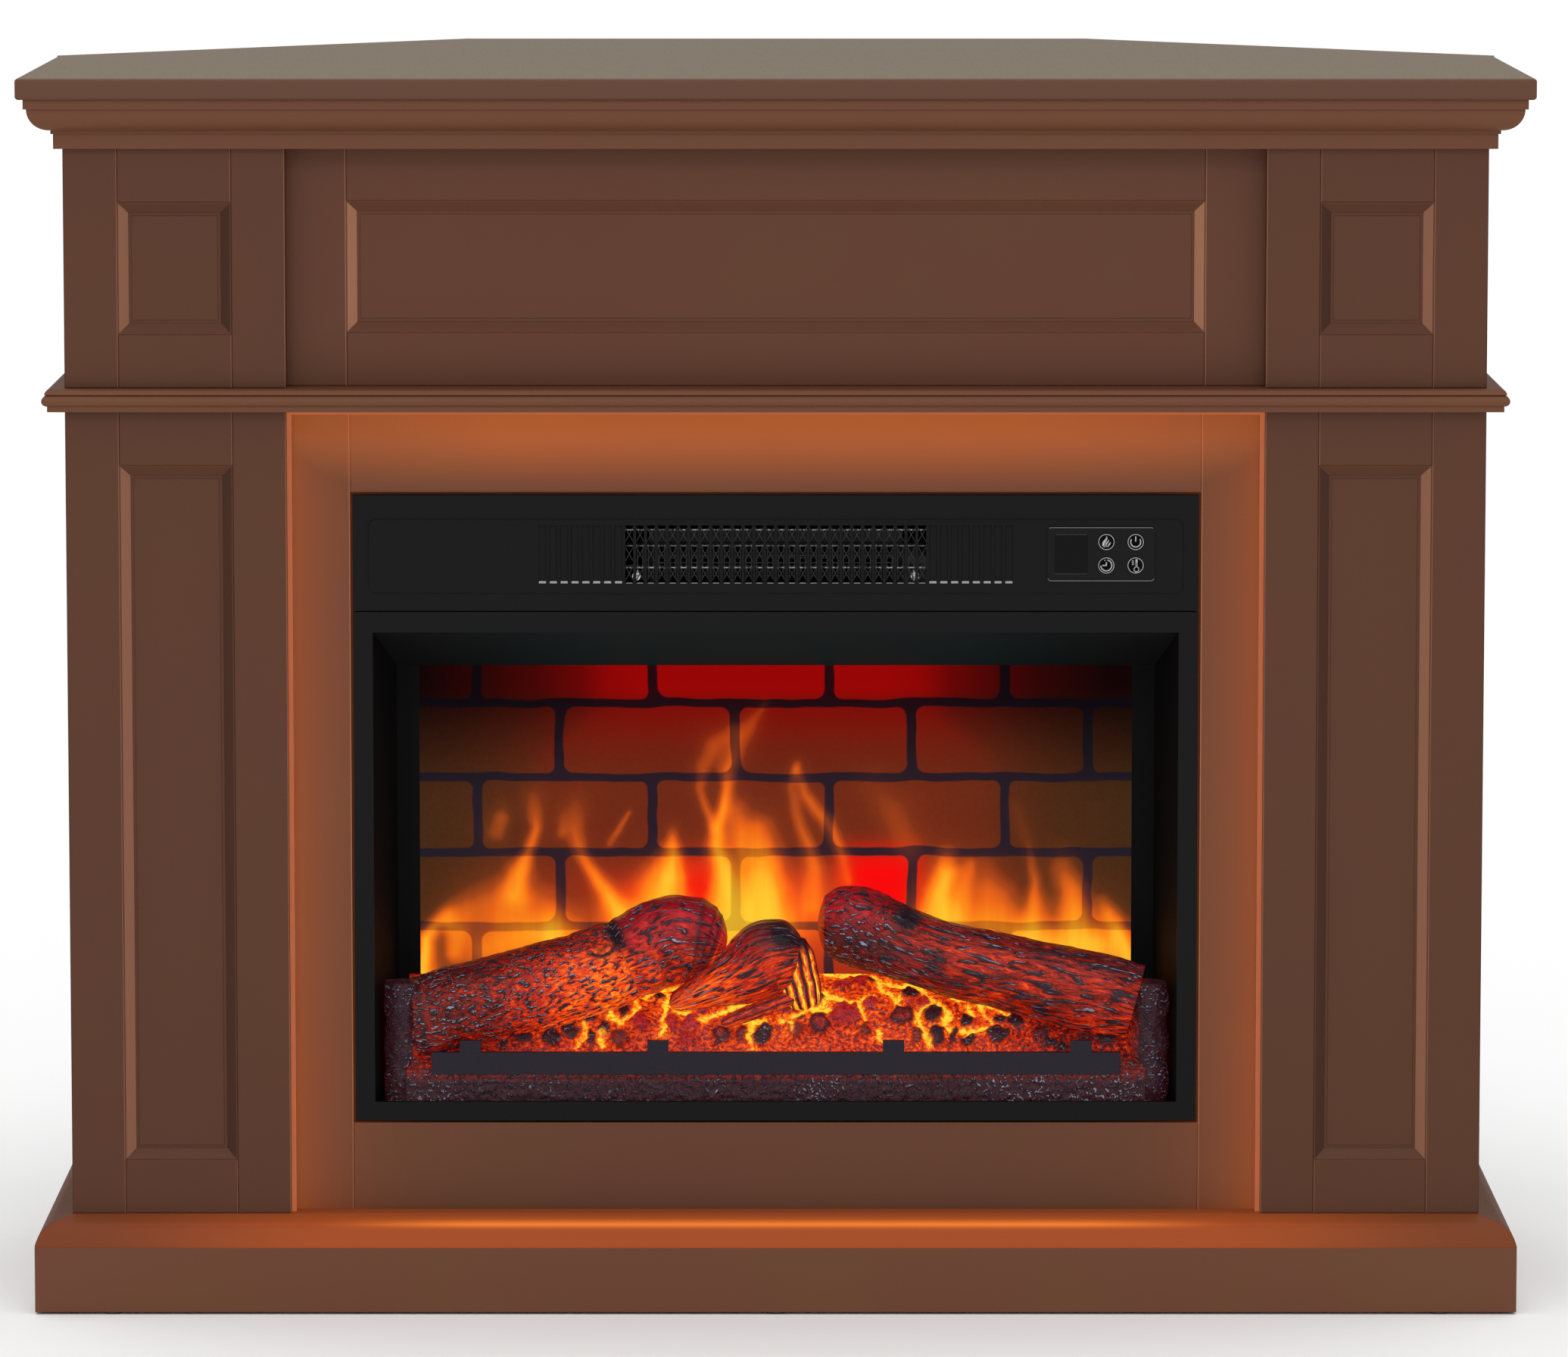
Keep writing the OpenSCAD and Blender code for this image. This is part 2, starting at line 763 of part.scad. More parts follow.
module led_driver() {
    color("dimgray") placed() limits([driver_x, driver_x + driver_l],
        [driver_y, driver_y + driver_w], [z_cap0, z_cap0 + driver_h]);
}

// ---- insert: case and front ----

module insert_housing() {
    color(black_steel) placed() difference() {
        union() {
            limits([-box_hw, box_hw], [box_y0, box_y1], [box_z0, box_z1]);
            limits([2 - insert_hw, insert_hw - 2], [box_y0, box_y0 + sheet],
                [insert_z0 + 2, insert_z1 - 2]);
        }
        limits([sheet - box_hw, box_hw - sheet], [box_y0 - 1, box_y1 + 1],
            [floor_z, deck_z]);
        limits([sheet - box_hw, box_hw - sheet], [box_y0 - 1, box_y1 + 1],
            [deck_z + sheet, box_z1 - sheet]);
    }
}

gland_x = 250;
gland_z = floor_z + 50;
gland_bore_r = 4;
gland_r = 9;
gland_l = 8;

module rear_cover() {
    color(black_steel) placed() difference() {
        union() {
            limits([-box_hw, box_hw], [box_y1, box_y1 + sheet], [box_z0, box_z1]);
            rod_y(gland_x, [box_y1, box_y1 + gland_l], gland_z, gland_r);
        }
        for (i = [-5 : 5]) limits([i * 18 - 3, i * 18 + 3], [box_y1 - 1, box_y1 + 3],
            [blower_z - 20, blower_z + 20]);
        rod_y(gland_x, [box_y1 - 1, far], gland_z, gland_bore_r);
    }
}

cutout_in = 3.4;

module heater_fascia() {
    z = [fascia_z0, insert_z1];
    color(black_steel) placed() difference() {
        union() {
            limits([-insert_hw, insert_hw], [insert_y, insert_y + sheet], z);
            difference() {
                limits([-insert_hw, insert_hw], [insert_y, box_y0], z);
                limits([sheet - insert_hw, insert_hw - sheet], [0, far],
                    [z[0] + sheet, z[1] - sheet]);
            }
            round_plate([-relief_w / 2, relief_w / 2],
                [relief_z - relief_h / 2, relief_z + relief_h / 2], relief_y, relief_out + eps,
                6);
        }
        for (i = [0 : slots - 1]) {
            x = (i - (slots - 1) / 2) * slot_pitch;
            open = i >= blind && i < slots - blind;
            limits([x - slot_w / 2, x + slot_w / 2],
                [relief_y - 1, open ? far : insert_y + 0.3],
                [slot_z - slot_h / 2, slot_z + slot_h / 2]);
        }
        limits([bezel_x - bezel_w / 2 + cutout_in, bezel_x + bezel_w / 2 - cutout_in],
            [0, far], [bezel_z - bezel_h / 2 + cutout_in, bezel_z + bezel_h / 2 - cutout_in]);
    }
}

module lower_frame() {
    z = [insert_z0, frame_z1];
    color(black_steel) placed() difference() {
        limits([-insert_hw, insert_hw], [insert_y, box_y0], z);
        limits([-mouth_hw, mouth_hw], [0, far], [mouth_z0, mouth_z1]);
        difference() {
            limits([sheet - insert_hw, insert_hw - sheet], [insert_y + sheet, far],
                [z[0] + sheet, z[1] - sheet]);
            limits([-mouth_hw - sheet, mouth_hw + sheet], [0, far],
                [mouth_z0 - sheet, mouth_z1 + sheet]);
        }
    }
}

diamond_h = 16.4;
rim_w = 4;

module vent_mesh() {
    wire = 0.7;
    pitch = slot_pitch;
    slant = atan(slot_pitch / diamond_h);
    rim = rim_w;
    run = mesh_z1 - mesh_z0;
    start = -ceil((mesh_hw + run) / pitch) * pitch;
    color([0.35, 0.35, 0.35]) placed() {
        difference() {
            limits([-mesh_hw, mesh_hw], [mesh_y, mesh_y + mesh_t], [mesh_z0, mesh_z1]);
            limits([rim - mesh_hw, mesh_hw - rim], [0, far], [mesh_z0 + rim, mesh_z1 - rim]);
        }
        intersection() {
            limits([rim - mesh_hw - eps, mesh_hw - rim + eps], [0, far],
                [mesh_z0 + rim - eps, mesh_z1 - rim + eps]);
            for (s = [-1, 1], x = [start + pitch / 2 : pitch : mesh_hw + run])
                translate([x, mesh_y + mesh_t / 2 - wire / 2, (mesh_z0 + mesh_z1) / 2])
                    rotate([0, s * slant, 0])
                        translate([-wire / 2, 0, -run]) cube([wire, wire, 2 * run]);
        }
    }
}

// Heights of the heater's bars and of its fins' top edge, from the slots' middle.
bar_up = [20, 6.5, -12];
fin_up = 8;
post_up = -19;
post_out = 12.5;

module heating_element() {
    x1 = mesh_hw - 2;
    x0 = x1 - 3;
    z = [mesh_z0 + 6, mesh_z1 - 6];
    bank = [heater_y0 + 4, heater_y1 - 4];
    fin_pitch = slot_pitch / 2;
    color([0.6, 0.55, 0.5]) placed() {
        both() {
            limits([x0, x1], [heater_y0, heater_y1], z);
            rod_y(mesh_hw - rim_w - post_out, [heater_y0 + 0.5, bank[0] + 4], slot_z + post_up,
                3.5);
        }
        for (u = bar_up) limits([-x0, x0], bank, [slot_z + u - 0.5, slot_z + u + 0.5]);
        for (x = [fin_pitch / 2 : fin_pitch : x0 - 10]) both()
            limits([x - 0.4, x + 0.4], [bank[0] + 1, bank[1] - 1], [z[0] + 2, slot_z + fin_up]);
    }
}

// ---- insert: blower ----

module blower_housing() {
    w = cavity_r + 4;
    outlet = 18;
    color([0.25, 0.25, 0.26]) placed() difference() {
        limits([-blower_hw, blower_hw], [heater_y1, blower_y + w],
            [deck_z + sheet, blower_z + w]);
        rod_x([-cavity_hw, cavity_hw], blower_y, blower_z, cavity_r);
        limits([-cavity_hw, cavity_hw], [heater_y1 - 1, blower_y],
            [blower_z - outlet, blower_z + outlet]);
        limits([-cavity_hw, cavity_hw], [blower_y - 12, blower_y + 12],
            [blower_z, blower_z + w + 1]);
        rod_x([-blower_hw - 1, blower_hw + 1], blower_y, blower_z, shaft_r + run_gap);
    }
}

module blower_wheel() {
    blades = 24;
    blade_deep = 7;
    disc_t = 2;
    stub = 12;
    color([0.7, 0.7, 0.72]) placed() {
        for (x = [-wheel_l / 2, -disc_t / 2, wheel_l / 2 - disc_t])
            rod_x([x, x + disc_t], blower_y, blower_z, wheel_r);
        for (i = [0 : blades - 1]) translate([0, blower_y, blower_z])
            rotate([i * 360 / blades, 0, 0]) translate([-wheel_l / 2, -0.5,
                wheel_r - blade_deep - 0.5]) cube([wheel_l, 1, blade_deep]);
        rod_x([wheel_l / 2 - eps, blower_hw + stub], blower_y, blower_z, shaft_r);
        rod_x([-blower_hw + 0.5, -wheel_l / 2 + eps], blower_y, blower_z, shaft_r);
    }
}

module blower_motor() {
    color([0.5, 0.5, 0.52]) placed() difference() {
        union() {
            rod_x([blower_hw, blower_hw + motor_l], blower_y, blower_z, motor_r);
            limits([blower_hw, blower_hw + motor_l], [blower_y - motor_r, blower_y + motor_r],
                [deck_z + sheet, blower_z]);
        }
        rod_x([blower_hw - 1, blower_hw + motor_l / 2], blower_y, blower_z,
            shaft_r + run_gap);
    }
}

// ---- insert: controls ----

module control_bezel() {
    color("black") placed() difference() {
        round_plate([bezel_x - bezel_w / 2, bezel_x + bezel_w / 2],
            [bezel_z - bezel_h / 2, bezel_z + bezel_h / 2], bezel_y, bezel_t, 3.2);
        limits([window_x - window_w / 2, window_x + window_w / 2], [0, far],
            [bezel_z - window_h / 2, bezel_z + window_h / 2]);
        for (x = button_x, z = button_z) rod_y(x, [0, far], z, button_r + button_gap);
    }
}

module display_window() {
    g = 0.1;
    color([0.1, 0.1, 0.12]) placed() limits([window_x - window_w / 2 + g,
        window_x + window_w / 2 - g], [bezel_y + 0.4, board_y - 3],
        [bezel_z - window_h / 2 + g, bezel_z + window_h / 2 - g]);
}

module button(i, j) {
    flange_y = relief_y + button_gap;
    color([0.08, 0.08, 0.08]) placed() {
        rod_y(button_x[i], [bezel_y - button_travel - 0.4, flange_y + 1], button_z[j],
            button_r);
        rod_y(button_x[i], [flange_y, flange_y + 1], button_z[j], button_r + 1.2);
    }
}

module button_flame() { button(0, 0); }

module button_power() { button(1, 0); }

module button_timer() { button(0, 1); }

module button_heat() { button(1, 1); }

module control_board() {
    x = [bezel_x - bezel_w / 2 - 3, bezel_x + bezel_w / 2 + 3];
    z = [bezel_z - bezel_h / 2 - 3, bezel_z + bezel_h / 2 + 3];
    flange_back = relief_y + button_gap + 1;
    post_r = 2;
    color("darkgreen") placed() {
        limits(x, [board_y, board_y + board_thick], z);
        for (i = x, j = z) rod_y(i == x[0] ? i + post_r : i - post_r,
            [insert_y + sheet, board_y + eps], j == z[0] ? j + post_r : j - post_r, post_r);
        for (i = button_x, j = button_z)
            rod_y(i, [flange_back + button_travel + 0.3, board_y + eps], j, 1.75);
        limits([window_x - window_w / 2, window_x + window_w / 2], [board_y - 3, board_y + eps],
            [bezel_z - window_h / 2, bezel_z + window_h / 2]);
    }
}

// ---- insert: fire chamber ----

// The chamber's space, grown by g: it narrows and its ceiling falls towards the back.
module chamber_space(g, y0, y1) {
    slope_x = splay / (chamber_y1 - chamber_y0);
    slope_z = ceiling_fall / (chamber_y1 - chamber_y0);
    function half(y) = mouth_hw + g - slope_x * (y - chamber_y0);
    function high(y) = mouth_z1 + g - slope_z * (y - chamber_y0);
    intersection() {
        linear_extrude(far) polygon([[-half(y0), y0], [half(y0), y0], [half(y1), y1],
            [-half(y1), y1]]);
        translate([-far / 2, 0, 0]) rotate([90, 0, 90]) linear_extrude(far)
            polygon([[y0, 0], [y1, 0], [y1, high(y1)], [y0, high(y0)]]);
    }
}

module chamber_liner() {
    color(black_steel) placed() difference() {
        intersection() {
            chamber_space(liner_t, chamber_y0, chamber_y1);
            limits([-far, far], [0, far], [tray_z, far]);
        }
        difference() {
            chamber_space(0, chamber_y0 - 5, chamber_y1 + 5);
            both() limits([screen_w / 2 - 1, far], [chamber_y1 - liner_t, far],
                [tray_z, far]);
            limits([-far, far], [0, far], [0, tray_z + liner_t]);
        }
        limits([-screen_w / 2 + 1, screen_w / 2 - 1], [chamber_y1 - liner_t - 1, far],
            [tray_z + liner_t, screen_z1]);
    }
}

module flame_screen() {
    color([0.5, 0.1, 0.05]) placed() limits([-screen_w / 2, screen_w / 2],
        [chamber_y1, chamber_y1 + screen_t], [tray_z, screen_z1]);
}

module flame_rotor() {
    fins = 26;
    fin_w = 15;
    core_r = 3.5;
    turn = 137.5;
    color([0.8, 0.8, 0.82]) placed() {
        rod_x([-rotor_l / 2, rotor_l / 2], rotor_y, rotor_z, core_r);
        rod_x([-rotor_plate_x - plate_t + 0.3, rotor_plate_x + plate_t + 10], rotor_y, rotor_z,
            pin_r);
        for (i = [0 : fins - 1])
            translate([(i - (fins - 1) / 2) * rotor_l / (fins + 1), rotor_y, rotor_z])
                rotate([i * turn, 0, 0])
                    translate([-fin_w / 2, -0.4, 0]) cube([fin_w, 0.8, rotor_r - 0.5]);
    }
}

module rotor_drive() {
    bracket_w = 30;
    top = 12;
    color([0.5, 0.5, 0.52]) placed() difference() {
        union() {
            for (x = [-rotor_plate_x - plate_t, rotor_plate_x]) limits([x, x + plate_t],
                [rotor_y - bracket_w / 2, rotor_y + bracket_w / 2], [floor_z, rotor_z + top]);
            rod_x([rotor_plate_x + plate_t - eps, rotor_plate_x + plate_t + rotor_motor_l],
                rotor_y, rotor_z, 20);
        }
        rod_x([-rotor_plate_x - 10, rotor_plate_x + plate_t + 12], rotor_y, rotor_z,
            pin_r + run_gap);
    }
}

// ---- log set: castings that nest in each other ----

log_fn = 16;
// Half the length of the set between its sawn ends.
log_hw = mouth_hw - splay - 17;

// Points along each log: place across, depth behind the insert's front, height above the
// tray, thickness.
left_log = [[-318, 42, 66, 0.93], [-286, 44, 75, 0.98], [-245, 46, 84, 0.98],
    [-205, 50, 93, 1.02], [-165, 54, 104, 0.98], [-130, 58, 116, 0.98],
    [-104, 60, 129, 1.04], [-82, 60, 135, 1.02]];
right_log = [[67, 60, 146, 0.98], [92, 58, 138, 0.95], [120, 55, 127, 0.9],
    [150, 52, 118, 0.9], [187, 49, 110, 0.93], [225, 46, 101, 0.96], [260, 43, 94, 1],
    [284, 41, 89, 0.98], [300, 40, 85, 0.9]];
middle_log = [[11, 60, 123, 0.94], [-8, 59, 119, 0.96], [-25, 56, 108, 0.9],
    [-50, 52, 94, 0.72], [-78, 47, 82, 0.55]];
fork_log = [[14, 56, 122, 1], [19, 50, 104, 0.95], [25, 43, 78, 0.85]];

module casting(points, r, grow = 0) {
    for (i = [0 : len(points) - 2]) hull() for (p = [points[i], points[i + 1]])
        translate([p[0], insert_y + p[1], tray_z + p[2]])
            sphere(r = r * p[3] + grow, $fn = log_fn);
}

module logs(grow = 0) {
    intersection() {
        union() {
            casting(left_log, left_log_r, grow);
            casting(right_log, right_log_r, grow);
            casting(middle_log, left_log_r * 0.9, grow);
            casting(fork_log, right_log_r * 0.55, grow);
        }
        limits([-log_hw - grow, log_hw + grow], [0, far], [0, far]);
    }
}

module log_set() { color([0.45, 0.12, 0.05]) placed() logs(); }

bed_x = mouth_hw - splay - 9;

// A lump of charcoal at (x, y) that stands h above the tray.
module coal(x, y, h, r) {
    hull() {
        translate([x, insert_y + y, tray_z + liner_t + 2]) cylinder(r = r, h = 1, $fn = 7);
        translate([x, insert_y + y, tray_z + h - r * 0.6])
            rotate([0, 0, x * 7]) sphere(r = r * 0.9, $fn = 8);
    }
}

module ember_bed() {
    z0 = tray_z + liner_t;
    bed = [[8.5, 0], [8.5, 24], [14, 28], [26, 40], [60, 76], [98, 94], [98, 0]];
    color([0.5, 0.1, 0.03]) placed() difference() {
        union() {
            translate([-bed_x, 0, 0]) rotate([90, 0, 90]) linear_extrude(2 * bed_x)
                polygon([for (p = bed) [insert_y + p[0], z0 + p[1]]]);
            for (i = [0 : 19]) {
                x = (i - 9.5) * 29;
                coal(x, 27 + 3 * sin(i * 97), 50 + 4 * cos(i * 131), 11 + 2 * sin(i * 55));
                coal(x + 14, 46 + 4 * cos(i * 71), 66 + 5 * sin(i * 113), 12);
            }
            both() hull() {
                translate([bed_x + 5, insert_y + 34, z0]) cylinder(r = 13, h = 102, $fn = 14);
                translate([bed_x + 3, insert_y + 30, z0]) cylinder(r = 16, h = 40, $fn = 14);
            }
        }
        logs(nest_gap);
        limits([-far, far], [0, far], [0, z0]);
        limits([-far, far], [chamber_y1 - liner_t - 1, far], [0, far]);
        limits([-bar_hw - 1, bar_hw + 1], [0, bar_y + bar_t + nest_gap], [bar_z0 - 0.3, far]);
    }
}

bar_hw = 292;
bar_z0 = mouth_z0 + 22;
bar_h = 19;
bar_t = 6;
bar_y = insert_y + 9;
upright_x = [100, 259];
upright_w = 18;
upright_h = 10;

module grate() {
    color([0.16, 0.13, 0.17]) placed() {
        limits([-bar_hw, bar_hw], [bar_y, bar_y + bar_t], [bar_z0, bar_z0 + bar_h]);
        both() for (x = upright_x) limits([x - upright_w / 2, x + upright_w / 2],
            [bar_y, bar_y + bar_t], [bar_z0 + bar_h - eps, bar_z0 + bar_h + upright_h]);
    }
}

// ---- insert fixings ----

bracket_h = 40;
bracket_in = 125;
bracket_z = [sill_z + bracket_in, opening_z1 - bracket_in];
bracket_hole_x = opening_hw + bracket_h / 2;
bracket_d = 40;

module insert_brackets() {
    color("silver") placed() both() difference() {
        for (z = bracket_z) {
            limits([box_hw, box_hw + plate_t], [surround_back, surround_back + bracket_d],
                [z - bracket_h / 2, z + bracket_h / 2]);
            limits([box_hw, bracket_hole_x + 12], [surround_back, surround_back + plate_t],
                [z - bracket_h / 2, z + bracket_h / 2]);
        }
        for (z = bracket_z) rod_y(bracket_hole_x, [0, far], z, screw_r + 0.2);
    }
}

mantel_top();
top_corner_extension();
crown_front();
crown_returns();
crown_backer();
pilaster_stiles_left();
pilaster_stiles_right();
pilaster_rails_left();
pilaster_rails_right();
pilaster_panels_left();
pilaster_panels_right();
frieze_stiles();
frieze_rails();
frieze_panel();
mid_shelf();
surround_stiles();
surround_rails();
side_panel_left();
side_panel_right();
plinth_front();
plinth_returns();
plinth_cap();
base_board();
base_corner_extension();
base_skirt();
rear_uprights();
rear_stretchers();
extension_bearers();
insert_platform();
corner_blocks();
mending_plates();
assembly_screws();
floor_pads();
led_channels();
led_diffusers();
led_driver();
insert_housing();
rear_cover();
heater_fascia();
lower_frame();
vent_mesh();
heating_element();
blower_housing();
blower_wheel();
blower_motor();
control_bezel();
display_window();
button_flame();
button_power();
button_timer();
button_heat();
control_board();
chamber_liner();
flame_screen();
flame_rotor();
rotor_drive();
ember_bed();
log_set();
grate();
insert_brackets();
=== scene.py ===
"""Looks of the corner fireplace: materials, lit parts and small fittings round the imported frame."""

import json
import math
from functools import reduce

import bmesh
import bpy
import numpy as np
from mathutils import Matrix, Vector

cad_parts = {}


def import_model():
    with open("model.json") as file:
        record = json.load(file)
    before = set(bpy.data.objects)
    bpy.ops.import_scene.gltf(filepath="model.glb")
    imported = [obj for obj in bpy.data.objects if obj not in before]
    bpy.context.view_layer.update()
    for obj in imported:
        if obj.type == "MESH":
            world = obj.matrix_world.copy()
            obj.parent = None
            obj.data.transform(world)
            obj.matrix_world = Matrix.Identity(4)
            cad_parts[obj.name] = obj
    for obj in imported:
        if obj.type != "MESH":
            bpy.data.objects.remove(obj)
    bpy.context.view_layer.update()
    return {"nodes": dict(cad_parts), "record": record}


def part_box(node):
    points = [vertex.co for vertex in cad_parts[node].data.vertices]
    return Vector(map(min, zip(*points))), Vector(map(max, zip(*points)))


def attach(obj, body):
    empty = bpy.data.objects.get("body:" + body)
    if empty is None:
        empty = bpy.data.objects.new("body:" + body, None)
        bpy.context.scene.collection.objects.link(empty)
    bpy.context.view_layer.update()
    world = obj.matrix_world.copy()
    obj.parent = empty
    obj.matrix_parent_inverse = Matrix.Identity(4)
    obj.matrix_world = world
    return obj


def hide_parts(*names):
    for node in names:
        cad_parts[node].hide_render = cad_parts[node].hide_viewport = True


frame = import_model()
NODES = frame["nodes"]
BODY = "mantel_and_insert"
DEPTH = 384.5       # millimetres from the front of the top back to the frame's origin
INSERT = 60.0       # depth of the insert's front
TRAY = 168.5        # height of the fire's tray
# Point fields of everything that glows: light, shade, crimson, ridges, and places on the skin.
LOOKS = ("glow", "dark", "crimson", "ridge", "along", "across")


# ---------------------------------------------------------------- places and meshes

def place(x, depth, z):
    """Points in the row frame from millimetres across, back from the top's front, and up."""
    x, depth, z = np.broadcast_arrays(np.asarray(x, float), depth, z)
    return np.stack([x, depth - DEPTH, z], -1) / 1000


def box_mm(node):
    """Lowest and highest corner of a CAD node as millimetres across, back and up."""
    low, high = (np.array(v) * 1000 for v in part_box(node))
    return low + [0, DEPTH, 0], high + [0, DEPTH, 0]


def quads(rows, cols, wrap=False, start=0):
    """Faces of a grid of points; wrap joins the last column to the first."""
    i = np.arange(rows - 1)[:, None]
    j = np.arange(cols if wrap else cols - 1)[None]
    k = (j + 1) % cols
    faces = np.stack([i * cols + j, i * cols + k, (i + 1) * cols + k, (i + 1) * cols + j], -1)
    return (faces.reshape(-1, 4) + start).tolist()


def tube(rows, cols, start=0):
    """Faces of a skin of closed rings, with a face over the first and over the last ring."""
    ends = [list(range(first, first + cols)) for first in (start, start + (rows - 1) * cols)]
    return quads(rows, cols, True, start) + ends


def link(name, data):
    """A new object in the scene."""
    obj = bpy.data.objects.new(name, data)
    bpy.context.scene.collection.objects.link(obj)
    return obj


def piece(name, points, faces, slot, material=None, body=BODY, smooth=True, replaces=None, fields=None):
    """A closed mesh in the row frame with its slot's material or its own, its body and point fields."""
    mesh = bpy.data.meshes.new(name)
    mesh.from_pydata(np.asarray(points, float).reshape(-1, 3).tolist(), [], faces)
    net = bmesh.new()
    net.from_mesh(mesh)
    bmesh.ops.recalc_face_normals(net, faces=net.faces)
    net.to_mesh(mesh)
    net.free()
    mesh.polygons.foreach_set("use_smooth", np.full(len(mesh.polygons), smooth))
    for key, values in (fields or {}).items():
        layer = mesh.attributes.new(key, "FLOAT", "POINT")
        layer.data.foreach_set("value", np.asarray(values, np.float32).ravel())
    mesh.materials.append(material or FINISHES[slot])
    obj = link(name, mesh)
    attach(obj, body)
    if replaces:
        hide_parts(replaces)


# ---------------------------------------------------------------- repeatable randomness

def lattice(x, y, z, seed):
    """A repeatable number from 0 to 1 for each whole-number place."""
    h = (x * 374761393 + y * 668265263 + z * 974634777 + seed * 1274126177) & 0xFFFFFFFF
    h = ((h ^ (h >> 13)) * 1103515245) & 0xFFFFFFFF
    h = ((h ^ (h >> 15)) * 668265263) & 0xFFFFFFFF
    return ((h ^ (h >> 16)) & 0xFFFFF) / 1048575.0


def noise(x, y, seed, octaves=2):
    """Smooth noise from 0 to 1, with finer layers added for more octaves."""
    x, y = np.broadcast_arrays(np.asarray(x, float), y)
    total, weight, size = 0.0, 0.0, 1.0
    for octave in range(octaves):
        places = [v * 2.0 ** octave for v in (x, y)]
        ix, iy = (np.floor(v).astype(np.int64) for v in places)
        fx, fy = (v - i for v, i in zip(places, (ix, iy)))
        fx, fy = (v * v * v * (v * (v * 6 - 15) + 10) for v in (fx, fy))
        layer = 0.0
        for a in (0, 1):
            for b in (0, 1):
                share = (fx if a else 1 - fx) * (fy if b else 1 - fy)
                layer = layer + share * lattice(ix + a, iy + b, 0, seed + octave * 17)
        total = total + layer * size
        weight += size
        size *= 0.5
    return total / weight


def grit(x, y, seed, octaves=2):
    """Noise from -0.5 to 0.5."""
    return noise(x, y, seed, octaves) - 0.5


def step(a, b, x):
    """Smooth step from 0 at a to 1 at b."""
    t = np.clip((x - a) / (b - a), 0, 1)
    return t * t * (3 - 2 * t)


def bell(x, centre, width):
    """A bump of height 1 at the centre."""
    return np.exp(-((x - centre) / width) ** 2)


def most(*layers):
    """The highest of several layers at each place."""
    return reduce(np.maximum, layers)


def segments(x, z, path):
    """For each stretch of a line: its two end points, how far along each place is, and its distance."""
    for a, b in zip(path, path[1:]):
        dx, dz = b[0] - a[0], b[1] - a[1]
        t = np.clip(((x - a[0]) * dx + (z - a[1]) * dz) / (dx * dx + dz * dz), 0, 1)
        yield a, b, t, np.hypot(x - a[0] - t * dx, z - a[1] - t * dz)


# ---------------------------------------------------------------- node trees

